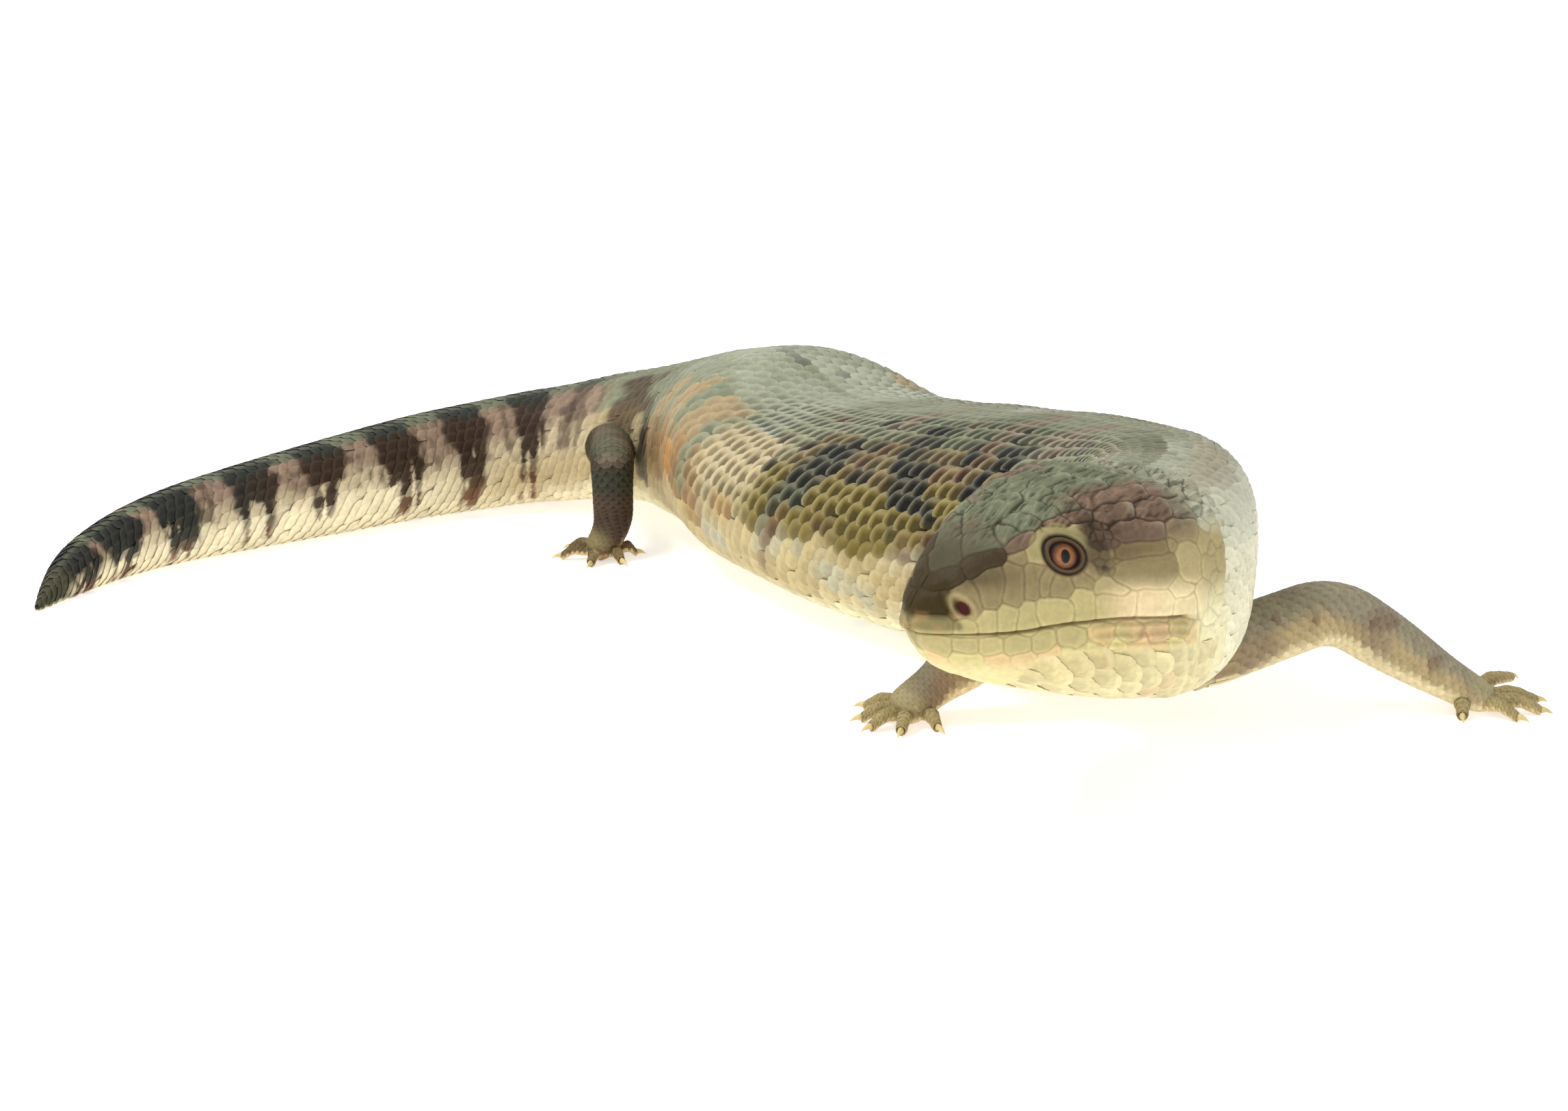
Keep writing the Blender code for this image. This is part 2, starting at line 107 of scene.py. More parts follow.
EYE_CENTRE, EYE_RADIUS = (23.4, 11.7, 12.5), 4.15
ARM_RADII, LEG_RADII = (7.0, 6.7, 6.5, 6.1, 4.9), (8.0, 5.6, 5.3, 5.0, 4.8)
JOINT_REACH = 6   # the rounding of elbows, knees, wrists and ankles
PALM = (5.4, 3.4, 2.4)   # half width, half height, reach past the ball
DIGIT_TIP_RADIUS, DIGIT_BASE_HEIGHT = 1.1, 2.3
DIGIT_PROFILE = ((0, 1.65), (0.3, 1.5), (0.55, 1.52), (0.75, 1.28), (0.95, 1.12), (1.0, 0.95))
CLAW_LENGTH = 2.6
# Joints are the root, elbow or knee, wrist or ankle, and ball. A digit is its base beside the ball, its
# heading in degrees, its reach and how far its tip is lifted.
LIMBS = {
    "left_arm": dict(
        joints=((58, -95, 11), (89.5, -89.5, 21), (113.3, -92.8, 6.4), (120, -91.8, 2.8)),
        radii=ARM_RADII, parts=("left_upper_arm", "left_forearm", "left_hand"),
        digits=((-4.0, -2.6, -103, 5.4, 0), (-1.2, -3.0, -38, 8.8, 0), (0, -1.6, -13, 12.0, 0),
                (0, 0.6, 6, 13.0, 0), (-0.8, 3.2, 32, 12.8, 2.2)),
    ),
    "right_arm": dict(
        joints=((43, -90, 16), (19.5, -95.5, 16.5), (8.0, -97.3, 6.6), (2.2, -99.2, 2.9)),
        radii=ARM_RADII, parts=("right_upper_arm", "right_forearm", "right_hand"),
        digits=((3.6, -2.4, 300, 5.0, 0), (0.6, -3.0, 252, 6.2, 0), (0, -1.6, 214, 8.6, 0),
                (0, 0.6, 192, 9.0, 0), (0.4, 3.0, 160, 8.8, 0)),
    ),
    "right_leg": dict(
        joints=((-69, 64, 19), (-65.8, 22.5, 24.0), (-65.4, 18.2, 6.0), (-69.6, 17.4, 2.8)),
        radii=LEG_RADII, parts=("right_thigh", "right_shank", "right_foot"),
        digits=((5.4, 1.0, 20, 4.4, 0), (3.6, -1.8, 308, 4.6, 0), (0.6, -2.6, 252, 5.4, 0),
                (-0.8, -0.6, 182, 8.2, 0), (-0.4, 2.4, 146, 8.4, 0)),
    ),
    "left_leg": dict(
        joints=((-62, 78, 19), (-35, 106, 24.0), (-29.5, 111, 6.0), (-23.6, 113.6, 2.8)),
        radii=LEG_RADII, parts=("left_thigh", "left_shank", "left_foot"),
        digits=((-2.8, -3.4, -42, 5.0, 0), (-0.6, -2.8, -4, 7.4, 0), (0, -1.0, 16, 9.6, 0),
                (0, 1.2, 34, 10.8, 0), (-0.6, 3.2, 72, 7.4, 0)),
    ),
}
SPINE_NODES = ("tail_tip", "tail_middle", "tail_base", "trunk_rear", "trunk_middle", "trunk_front",
               "neck", "head", "lower_jaw")


def smooth_profile(points):
    """A curve through the points that never overshoots them; the first column is the place."""
    table = np.array(points, float)
    place, values = table[:, 0], table[:, 1:]
    width = np.diff(place)[:, None]
    slope = np.diff(values, axis=0) / width
    tangent = np.zeros_like(values)
    tangent[0], tangent[-1] = slope[0], slope[-1]
    before, after = slope[:-1], slope[1:]
    mean = 2 * before * after / np.where(before + after == 0, 1, before + after)
    tangent[1:-1] = np.where(before * after > 0, mean, 0)

    def at(where):
        where = np.clip(np.atleast_1d(np.asarray(where, float)), place[0], place[-1])
        i = np.clip(np.searchsorted(place, where, "right") - 1, 0, len(width) - 1)
        t = ((where - place[i]) / width[i, 0])[:, None]
        h = width[i]
        start = (1 + 2 * t) * (1 - t) ** 2 * values[i] + t * (1 - t) ** 2 * h * tangent[i]
        end = t * t * (3 - 2 * t) * values[i + 1] + t * t * (t - 1) * h * tangent[i + 1]
        return start + end

    return at


def step(x, low, high):
    """0 below low, 1 above high, eased between; low may be the greater."""
    t = np.clip((np.asarray(x, float) - low) / (high - low), 0, 1)
    return t * t * (3 - 2 * t)


def window(x, low, high, soft):
    """1 between low and high, fading over soft outside them."""
    return step(x, low - soft, low) * step(x, high + soft, high)


def hashed(*cells):
    """A repeatable number in 0..1 for whole-number cells."""
    value = np.zeros(np.broadcast(*cells).shape, np.uint64)
    for cell in cells:
        value = value * np.uint64(6364136223846793005) + np.asarray(cell).astype(np.int64).astype(np.uint64)
        value ^= value >> np.uint64(29)
        value *= np.uint64(0xBF58476D1CE4E5B9)
        value ^= value >> np.uint64(32)
    return (value >> np.uint64(11)).astype(float) / float(1 << 53)


def noise(points, size, seed=0):
    """Smooth noise in -1..1 over points of any number of columns, of one size of feature."""
    p = np.asarray(points, float) / size
    base = np.floor(p)
    part = p - base
    part = part * part * (3 - 2 * part)
    columns = p.shape[-1]
    total = 0
    for corner in range(1 << columns):
        bits = [(corner >> k) & 1 for k in range(columns)]
        weight = np.prod([part[..., k] if b else 1 - part[..., k] for k, b in enumerate(bits)], axis=0)
        cells = [base[..., k] + b for k, b in enumerate(bits)]
        total = total + weight * hashed(*cells, np.full(p.shape[:-1], seed))
    return total * 2 - 1


def rgb(red, green, blue):
    """Linear colour of an ordinary 0..255 screen colour."""
    c = np.array([red, green, blue]) / 255
    return np.where(c <= 0.04045, c / 12.92, ((c + 0.055) / 1.055) ** 2.4)


def blend(colours, other, amount):
    """Colours mixed with another; amount is the other's share, 0..1."""
    amount = np.asarray(amount)[..., None]
    return colours * (1 - amount) + other * amount


def painted(colour, *coats):
    """A colour under coats of paint, each a colour and its amount; the last lies on top."""
    for paint, amount in coats:
        colour = blend(colour, paint, amount)
    return colour


def hill(x, middle, width):
    """1 at the middle, fading smoothly over the width on both sides."""
    return np.exp(-((x - middle) / width) ** 2)


def oval(x, y, middle, radii):
    """Squared distance from the middle of an oval, 1 on its edge."""
    return ((x - middle[0]) / radii[0]) ** 2 + ((y - middle[1]) / radii[1]) ** 2


def down_side(u):
    """Place between the middle of the back, 0, and that of the belly, 1, on either side."""
    return 1 - np.abs(1 - 2 * (u % 1.0))


def staggered(count, turn):
    """Even places round a tube, shifted half a step in every second row."""
    return (np.arange(count) + 0.5 * (turn % 2)) / count


def rows_of_roots(q, stop, row):
    """Roots of scales in rows from q to stop; row gives one row's roots and the way to the next row."""
    turn, rows = 0, []
    while q < stop:
        roots, ahead = row(q, turn)
        rows.append(roots)
        q += ahead
        turn += 1
    return np.vstack(rows)


# ---------------------------------------------------------------- the body as one surface
body_size = smooth_profile(BODY_SECTIONS)
head_size = smooth_profile(HEAD_SECTIONS)
mouth_height = smooth_profile(MOUTH_LINE)


def spine_heading(distance):
    """Heading of the spine in radians, rounded over a short stretch."""
    place, heading = np.array(SPINE_HEADINGS, float).T
    offsets = np.linspace(-HEADING_REACH, HEADING_REACH, 11)
    return np.radians(np.mean([np.interp(distance + o, place, heading) for o in offsets], axis=0))


def section_heading(distance):
    """Heading of the body's sections, which turn to the head's at the end of the neck."""
    ease = np.clip((distance - HEAD_TURN_START) / (NECK_END - HEAD_TURN_START), 0, 1) ** 2
    return spine_heading(distance) + (math.radians(HEAD_YAW - 180) - spine_heading(NECK_END)) * ease


def spine_line():
    """Places along the spine and where they lie on the floor; the belly's middle is the origin."""
    distance = np.arange(TAIL_END, NECK_END + 1.0)
    steps = np.column_stack([np.cos(spine_heading(distance)), np.sin(spine_heading(distance))])
    line = np.vstack([[0, 0], np.cumsum((steps[1:] + steps[:-1]) / 2, axis=0)])
    return distance, line - line[BELLY - TAIL_END]


SPINE_PLACES, SPINE_LINE = spine_line()
yaw, roll = math.radians(HEAD_YAW), math.radians(HEAD_ROLL)
YAW_TURN = np.array([[math.cos(yaw), -math.sin(yaw), 0], [math.sin(yaw), math.cos(yaw), 0], [0, 0, 1]])
ROLL_TURN = np.array([[1, 0, 0], [0, math.cos(roll), -math.sin(roll)], [0, math.sin(roll), math.cos(roll)]])
HEAD_TURN = YAW_TURN @ ROLL_TURN
HEAD_PLACE = np.array([*(SPINE_LINE[-1] - HEAD_LENGTH * YAW_TURN[:2, 0]), MOUTH_HEIGHT])


def on_head(points):
    """Points from the head's own frame, in the model's."""
    return np.asarray(points, float) @ HEAD_TURN.T + HEAD_PLACE


def in_head(points):
    """Points of the model in the head's own frame: x back from the snout, z over the mouth."""
    return (np.asarray(points, float) - HEAD_PLACE) @ HEAD_TURN


ROUND = 240              # places round a section in a table
FINE = np.linspace(0.5 * math.pi, 2.5 * math.pi, 1441)


def even_round(rings):
    """Rings of many points, resampled to even steps of their length; the last column closes."""
    out = np.empty((len(rings), ROUND + 1, 3))
    girth = np.empty(len(rings))
    for i, ring in enumerate(rings):
        along = np.concatenate([[0], np.cumsum(np.linalg.norm(np.diff(ring, axis=0), axis=1))])
        girth[i] = along[-1]
        for k in range(3):
            out[i, :, k] = np.interp(np.linspace(0, along[-1], ROUND + 1), along, ring[:, k])
    return out, girth


def section(half_width, half_height, power):
    """Sideways and upward places of a section's outline: an ellipse at power 1, squarer below."""
    c, s = np.cos(FINE), np.sin(FINE)
    return np.sign(c) * np.abs(c) ** power * half_width, np.sign(s) * np.abs(s) ** power * half_height


def body_rings():
    """Sections from the snout to the tail's tip, one each millimetre and closer on the snout."""
    snout = SNOUT_TIP + (2 - SNOUT_TIP) * np.linspace(0, 1, 15)[:-1] ** 1.5
    xs = np.concatenate([snout, np.arange(2, HEAD_LENGTH, 1.0)])
    rings = []
    for x, (half_width, top, bottom) in zip(xs, head_size(xs)):
        side, up = section(half_width, (top - bottom) / 2, np.interp(x, (0, 30), (SNOUT_POWER, NECK_POWER)))
        rings.append(on_head(np.column_stack([np.full(len(side), x), -side, (top + bottom) / 2 + up])))
    places = np.arange(NECK_END, TAIL_END - 1, -1.0)
    for d, (half_width, half_height, lift) in zip(places, body_size(places)):
        neck = np.clip((d - NECK_START) / (NECK_END - NECK_START), 0, 1)
        side, up = section(half_width, half_height, TRUNK_POWER + (NECK_POWER - TRUNK_POWER) * neck)
        height = np.maximum(half_height + lift + up - max(0, FLOOR_SINK - lift), 0)
        x, y = (np.interp(d, SPINE_PLACES, SPINE_LINE[:, k]) for k in (0, 1))
        h = section_heading(d)
        rings.append(np.column_stack([x - math.sin(h) * side, y + math.cos(h) * side, height]))
    return np.concatenate([xs, HEAD_LENGTH + NECK_END - places]), np.array(rings)


class Surface:
    """A tube-like surface kept as a table, read between its rows and columns."""

    def __init__(self, places, rings):
        self.places = np.asarray(places, float)
        self.points, self.girth = even_round(rings)
        along = np.gradient(self.points, self.places, axis=0)
        wrap = np.concatenate([self.points[:, -2:-1], self.points, self.points[:, 1:2]], axis=1)
        normal = np.cross(wrap[:, 2:] - wrap[:, :-2], along)
        normal /= np.maximum(np.linalg.norm(normal, axis=2, keepdims=True), 1e-9)
        centre = self.points[:, :-1].mean(axis=1, keepdims=True)
        self.turned = np.sum(normal * (self.points - centre)) < 0   # its rows and columns wind inward
        self.normals = -normal if self.turned else normal

    def read(self, table, q, u):
        """Values of a table of the surface at any places."""
        row = np.interp(q, self.places, np.arange(len(self.places)))
        i = np.minimum(row.astype(int), len(self.places) - 2)
        column = (u % 1.0) * ROUND
        j = np.minimum(column.astype(int), ROUND - 1)
        a, b = (row - i)[..., None], (column - j)[..., None]
        return ((table[i, j] * (1 - b) + table[i, j + 1] * b) * (1 - a)
                + (table[i + 1, j] * (1 - b) + table[i + 1, j + 1] * b) * a)

    def at(self, q, u, height=0.0):
        """Points at a height over the surface."""
        q, u, height = np.broadcast_arrays(*(np.asarray(v, float) for v in (q, u, height)))
        normal = self.read(self.normals, q, u)
        normal = normal / np.maximum(np.linalg.norm(normal, axis=-1, keepdims=True), 1e-9)
        return self.read(self.points, q, u) + normal * height[..., None]

    def girth_at(self, q):
        """Length round the surface."""
        return np.interp(q, self.places, self.girth)


body = Surface(*body_rings())
TAIL_TIP = body.places[-1]


# ---------------------------------------------------------------- limbs and digits as surfaces
class LimbPath:
    """A limb's bent axis, rounded at its joints, with its distance marks at them."""

    def __init__(self, joints):
        joints = np.array(joints, float)
        self.corners = np.vstack([2 * joints[0] - joints[1], joints, 2 * joints[-1] - joints[-2]])
        lengths = np.linalg.norm(np.diff(self.corners, axis=0), axis=1)
        self.places = np.concatenate([[0], np.cumsum(lengths)]) - lengths[0]
        self.marks = self.places[1:-1]

    def point(self, distance):
        """Point of the rounded axis."""
        offsets = np.linspace(-JOINT_REACH, JOINT_REACH, 9)
        return np.mean([[np.interp(distance + o, self.places, self.corners[:, k]) for k in range(3)]
                        for o in offsets], axis=0)


def limb_surface(path, radii):
    """A limb from its root to the end of its palm."""
    root, joint, wrist, ball = path.marks
    upper, lower = joint - root, wrist - joint
    size = smooth_profile((
        (root, radii[0], radii[0]), (root + upper * 0.6, radii[1], radii[1]), (joint, radii[2], radii[2]),
        (joint + lower * 0.4, radii[3], radii[3]), (wrist, radii[4], radii[4] * 0.85),
        (ball - 1.0, PALM[0], PALM[1]), (ball + PALM[2] * 0.6, PALM[0] * 0.8, PALM[1] * 0.8),
        (ball + PALM[2], PALM[0] * 0.35, PALM[1] * 0.4),
    ))
    places = np.arange(root, ball + PALM[2], 0.5)
    rings = []
    for d, (half_width, half_height) in zip(places, size(places)):
        ahead = path.point(d + 0.5) - path.point(d - 0.5)
        ahead /= np.linalg.norm(ahead)
        side = np.cross((0, 0, 1), ahead)
        side /= np.linalg.norm(side)
        up = np.cross(ahead, side)
        ring = (path.point(d) + np.outer(np.cos(FINE), half_width * side)
                + np.outer(np.sin(FINE), half_height * up))
        ring[:, 2] = np.maximum(ring[:, 2], 0)
        rings.append(ring)
    return Surface(places, np.array(rings))


def digit_surface(ball, digit):
    """A digit's tube, arched over its middle, with knuckles, and the place and way of its claw."""
    along_x, along_y, heading, reach, lift = digit
    ahead = np.array([math.cos(math.radians(heading)), math.sin(math.radians(heading)), 0])
    base = np.array([ball[0] + along_x, ball[1] + along_y, DIGIT_BASE_HEIGHT])
    middle = base + ahead * reach * 0.55 + (0, 0, 0.5 + lift / 2)
    tip = base + ahead * reach
    tip[2] = DIGIT_TIP_RADIUS * 0.95 + lift
    axis = smooth_profile([(t, *p) for t, p in ((0, base), (0.55, middle), (1, tip))])
    share = np.linspace(0, 1, max(8, int(reach * 3)))
    centres, sizes = axis(share), smooth_profile(DIGIT_PROFILE)(share)[:, 0]
    knuckles = 0.09 * np.cos(share * reach * 2 * math.pi / 3.2) * window(share, 0.2, 0.8, 0.15)
    side = np.cross((0, 0, 1), ahead)
    rings = []
    for centre, size in zip(centres, sizes + knuckles):
        ring = centre + size * (np.outer(np.cos(FINE), side) + np.outer(np.sin(FINE), (0, 0, 0.95)))
        ring[:, 2] = np.maximum(ring[:, 2], 0)
        rings.append(ring)
    return Surface(share * reach, np.array(rings)), tip, ahead


limbs = {}
for name, limb in LIMBS.items():
    path = LimbPath(limb["joints"])
    limbs[name] = dict(
        limb, marks=path.marks, tube=limb_surface(path, limb["radii"]),
        toes=[digit_surface(limb["joints"][-1], digit) for digit in limb["digits"]],
    )

# ---------------------------------------------------------------- markings
SAGE, SAGE_PALE, SAGE_DARK = rgb(136, 139, 112), rgb(174, 178, 154), rgb(102, 106, 80)
VIOLET_GREY, RUST, MAUVE = rgb(88, 86, 92), rgb(104, 68, 46), rgb(142, 118, 102)
BLUE_BLACK, DARK_BROWN, OLIVE_BROWN = rgb(20, 24, 25), rgb(72, 50, 36), rgb(108, 86, 48)
MUSTARD, TAN = rgb(114, 98, 32), rgb(200, 179, 134)
CREAM_BAR, ORANGE, STRIPE = rgb(176, 152, 114), rgb(192, 140, 84), rgb(134, 140, 114)
LOW_CREAM, PEACH = rgb(202, 182, 130), rgb(216, 178, 138)
BLUE_GREY, BELLY_YELLOW = rgb(186, 194, 178), rgb(250, 242, 198)
TAIL_BANDS = (   # place, half width, reach down the side, strength
    (-8, 2.6, 0.50, 0.6), (-26, 6.4, 0.76, 1.0), (-47.5, 6.2, 0.74, 1.0), (-70, 6.0, 0.70, 1.0),
    (-91, 6.0, 0.68, 1.0), (-111, 6.6, 0.70, 1.0), (-132, 6.4, 0.72, 1.0), (-150, 6.0, 0.76, 1.0),
    (-164, 5.6, 0.84, 1.0),
)


def single(patch, seed, share):
    """True for a share of the scales, picked by their numbers, and never on the skin."""
    return (hashed(np.round(patch * 9e5), seed) < share) * (patch > 0)


def tail_markings(colour, s, u, s1, g1, place, wave, fine):
    """The tail's colours laid over the rest: tan and cream between dark bands that drip down the sides."""
    g, tail = down_side(u), step(s1, 4, -6)
    streak = noise(np.stack([s, 0.12 * s + 9 * u], -1), 1.5, 11)
    speckle = step(0.5 * noise(place, 2.4, 12) + streak, 0.0, 0.45) * window(g1, 0.12, 0.44, 0.05) * tail
    low = blend(rgb(250, 236, 196), rgb(198, 176, 130), 0.9 * step(s, -70, -30) * step(g1, 0.8, 0.6))
    between = painted(
        rgb(108, 112, 88),
        (rgb(148, 124, 104), step(g1, 0.07, 0.17)),
        (rgb(208, 190, 154), step(g1 + 0.05 * wave, 0.28, 0.42)),
        (low, step(g1, 0.42, 0.56)),
    )
    ink = painted(
        rgb(52, 34, 22),
        (rgb(36, 42, 34), step(g + 0.05 * streak, 0.2, 0.12)),
        (rgb(32, 36, 34), step(s, -96, -128)),
        (rgb(150, 98, 62), 0.6 * step(g, 0.5, 0.72)),
    )
    colour = painted(colour, (between, tail), (rgb(74, 56, 42), 0.75 * speckle))
    for centre, half, reach, strength in TAIL_BANDS:
        d = np.abs(s + 1.3 * wave + 1.4 * fine + 0.7 * streak - centre) + 2.2 * step(g, 0.3, 0.62)
        drip = 0.34 + (reach - 0.34) * step(streak + 0.5 * fine + 0.3 * (1 - d / half), -0.5, 0.35)
        mask = strength * step(d, half + 0.7, half - 0.7) * (0.5 + 0.5 * step(g, 0.0, 0.05))
        colour = blend(colour, ink, 0.97 * (mask * step(g, drip + 0.05, drip - 0.02)))
    return blend(colour, rgb(70, 68, 50), step(s, -166, -172) * step(g1, 0.8, 0.6))


def body_markings(q, u, patch=0.0):
    """Colour of the body at its coordinates; patch is a number over 0 for each scale, and 0 on the skin."""
    s = NECK_END + HEAD_LENGTH - q
    g = down_side(u)
    place = np.stack([s, 110 * u], -1)
    wave, fine, broad = noise(place, 11, 1), noise(place, 4.5, 2), noise(place, 26, 3)
    s1 = s + 2.0 * wave + fine
    g1 = g + 0.022 * wave + 0.012 * fine
    patch = np.broadcast_to(patch, s.shape)
    # the back, then the flank: tan, then cream and pale yellow below
    mustard = window(g1, 0.35 + 0.05 * step(s, 116, 106), 0.5, 0.035) * window(s1, 96, 236, 6)
    colour = painted(
        SAGE,
        (SAGE_PALE, 0.75 * step(broad + 0.5 * wave, 0.1, 0.7) * step(g, 0.36, 0.2)),
        (SAGE_DARK, 0.65 * step(wave + 0.4 * fine - 0.4 * broad, 0.25, 0.8)),
        (SAGE_PALE, (0.6 + 0.3 * wave) * window(s1, 40, 98, 12) * window(g1, 0.04, 0.3, 0.06)),
        (rgb(84, 90, 68), 0.5 * step(s, 118, 150) * step(s, 214, 184) * window(g1, 0.12, 0.3, 0.05)),
        (MAUVE, 0.55 * step(noise(place, 9, 5), 0.45, 0.7) * step(g, 0.4, 0.25) * step(s, 95, 130)),
        (TAN, 0.85 * step(g1, 0.27, 0.37)),
        (MUSTARD, (0.35 + 0.6 * step(s1, 108, 118)) * mustard),
        (OLIVE_BROWN, 0.8 * window(g1, 0.27, 0.345, 0.03) * window(s1, 122, 232, 5)),
        (LOW_CREAM, step(g1, 0.49, 0.55)),
        (PEACH, 0.55 * step(noise(place, 12, 6), 0.25, 0.7) * window(g1, 0.5, 0.66, 0.05)),
    )
    for middle in ((93, 0.55), (125, 0.53), (147, 0.6), (168, 0.54), (200, 0.6)):
        near = oval(s1, g1, middle, (9, 0.055))
        colour = blend(colour, BLUE_GREY, 0.45 * step(near + 0.9 * fine, 1.1, 0.1))
    # rear flank: cream-orange bars that slant forward as they rise, with grey-green stripes between
    slant = s1 - (0.38 - g) * 62
    rear = window(s1, 24, 92, 5) * window(g1, 0.235, 0.5, 0.03)
    low_brown = window(s1, 28, 84, 6) * window(g1, 0.4, 0.53, 0.04) * step(fine - 0.5 * wave, -0.5, 0.3)
    bars = [(CREAM_BAR, 0.9 * rear * window(slant + 1.5 * fine, low, high, 2.6))
            for low, high in ((30, 37), (45, 54), (63, 73))]
    colour = painted(
        colour,
        (BELLY_YELLOW, step(g1, 0.62, 0.74)),
        (STRIPE, 0.95 * rear * window(slant, 22, 86, 4)),
        *bars,
        (STRIPE, 0.3 * rear * step(fine, 0.0, 0.5)),
        (rgb(152, 110, 64), 0.7 * low_brown),
        (TAN, 0.9 * window(s1, 84, 112, 4) * window(g1, 0.3, 0.42, 0.03)),
        (ORANGE, 0.8 * step(oval(s1, g1, (58, 0.475), (9, 0.06)), 1.3, 0.4)),
        (ORANGE, 0.5 * step(oval(s1, g1, (100, 0.485), (6, 0.03)), 1.3, 0.4)),
    )
    # broken dark bands of the flank
    band = np.abs(s1 - (138.5 - 66 * (g - 0.28))) + 9 * step(g, 0.31, 0.24)
    ink = blend(BLUE_BLACK, rgb(58, 66, 50), 0.9 * step(g1, 0.38, 0.44))
    broken = step(noise(place, 6.0, 13) + 0.3 * fine, -0.75, -0.4)
    colour = painted(
        colour,
        (ink, 0.95 * step(band + 2 * fine, 7.2, 4.8) * window(g1, 0.245, 0.445, 0.025) * broken),
        (rgb(120, 84, 50), 0.6 * step(band + 1.5 * fine, 3.6, 1.6) * window(g1, 0.46, 0.6, 0.03)),
    )
    blot = step(noise(place, 6.5, 8) + 0.5 * fine, -0.45, -0.1)
    for centre, top, share in ((163, 0.20, 0.93), (189, 0.24, 0.8), (214, 0.29, 0.5)):
        band = np.abs(s1 - centre - 30 * (g - 0.28) - 5 * noise(place, 8, 7))
        band = band + 20 * (hashed(np.round(patch * 9e5), 4) > share)   # some scales stay out of the band
        colour = painted(
            colour,
            (BLUE_BLACK, 0.95 * step(band, 8.5, 6) * blot * window(g1, top, 0.45, 0.03)),
            (DARK_BROWN, 0.7 * step(band + fine, 4.6, 2) * window(g1, 0.44, 0.52, 0.02) * blot),
        )
    # single scales that differ, and the hips
    edging = window(g1, 0.462, 0.492, 0.012) * window(s1, 122, 200, 4)
    edging = edging * step(noise(place, 7, 14) + 0.4 * fine, 0.0, 0.3)
    upper = window(g1, 0.16, 0.36, 0.05) * step(s, 96, 118)
    spots = step(g, 0.34, 0.28) * step(s, 20, 60) * step(noise(place, 15, 9), -0.2, 0.25)
    hip = window(s1, 7, 25, 3.5)
    colour = painted(
        colour,
        (rgb(92, 62, 36), 0.8 * edging),
        (RUST, 0.65 * single(patch, 1, 0.09) * upper),
        (BLUE_BLACK, 0.8 * single(patch, 2, 0.13) * upper),
        (VIOLET_GREY, 0.45 * single(patch, 3, 0.10) * spots),
        (DARK_BROWN, 0.8 * hip * window(g1, 0.16, 0.42, 0.05) * step(fine + wave, -0.9, -0.1)),
        (BLUE_BLACK, 0.75 * window(s1, 21, 27, 2) * window(g1, 0.4, 0.6, 0.04)),
    )
    colour = tail_markings(colour, s, u, s1, g1, place, wave, fine)
    # neck beside the turned head
    right = (u % 1.0) < 0.5
    neck = np.where(right, step(s1, 208, 234), step(s1, 194, 224))
    side = painted(
        rgb(170, 169, 147),
        (rgb(160, 142, 112), 0.5 * window(g1, 0.1, 0.22, 0.04) * step(wave, -0.2, 0.5)),
        (rgb(208, 208, 182), step(g1, 0.16, 0.28)),
        (rgb(236, 230, 198), step(g1, 0.32, 0.44)),
        (rgb(250, 244, 208), step(g1, 0.47, 0.62)),
    )
    colour = blend(colour, side, neck * step(g, 0.02, 0.14) * np.where(right, 0.75, 1.0))
    return np.clip(colour * (1 + 0.05 * fine[..., None] + 0.04 * broad[..., None]), 0, 1)


LIMB_COLOURS = {   # top, front edge, side, underside
    "left_arm": (rgb(142, 134, 112), rgb(140, 118, 98), rgb(182, 160, 116), rgb(240, 222, 174)),
    "right_arm": (rgb(120, 110, 86), rgb(120, 94, 74), rgb(148, 124, 86), rgb(232, 208, 158)),
    "right_leg": (rgb(42, 36, 24), rgb(98, 72, 56), rgb(56, 34, 24), rgb(166, 132, 86)),
    "left_leg": (rgb(92, 96, 78), rgb(146, 124, 110), rgb(112, 86, 62), rgb(206, 184, 140)),
}


def limb_markings(limb, points, normals, share):
    """Colour of a limb by the way its surface faces; share runs 0..1 from the root to the palm."""
    top, edge, side, under = LIMB_COLOURS[limb]
    leg = "leg" in limb
    height = points[..., 2]
    up = normals[..., 2] + 0.25 * noise(points, 5, 21)
    spots = 0.6 * step(noise(points, 4, 23), 0.35, 0.6) * step(up, -0.4, 0)
    colour = painted(
        side,
        (edge, (0.35 if leg else 0.7) * step(noise(points, 8, 22), 0.0, 0.5)),
        (top, 0.9 * step(up, 0.1, 0.55)),
        (under, step(up, -0.25, -0.6)),
        (DARK_BROWN if leg else rgb(112, 84, 66), spots),
    )
    if leg:
        thigh = step(height + 1.5 * noise(points, 5, 26), 23, 27)
        shank = window(height + 1.5 * noise(points, 5, 28), 8, 22, 3) * step(up, -0.5, -0.1)
        colour = painted(
            colour,
            (rgb(98, 96, 72), 0.85 * thigh),
            (rgb(130, 104, 84), 0.7 * thigh * step(noise(points, 6, 27), 0.0, 0.5)),
            (blend(rgb(58, 38, 26), rgb(32, 36, 22), step(height, 15, 19)), 0.8 * shank),
        )
    if limb == "right_leg":
        colour = blend(colour, rgb(120, 102, 62), 0.8 * step(share, 0.88, 0.94) * step(up, -0.3, 0.1))
    palm = (0.2 if leg else 0.6) * step(share, 0.84, 0.95) * step(up, 0, 0.4)
    return blend(colour, rgb(176, 162, 114), palm)


def toe_markings(limb, points, normals, _):
    """Colour of a digit by the way its surface faces; it takes what limb_markings takes."""
    up = normals[..., 2] + 0.15 * noise(points, 2, 24)
    return painted(
        rgb(104, 84, 50) if "leg" in limb else rgb(160, 142, 96),
        (rgb(176, 158, 112), 0.5 * step(noise(points, 3, 25), 0, 0.5)),
        (rgb(226, 198, 140), step(up, 0.05, -0.45)),
    )


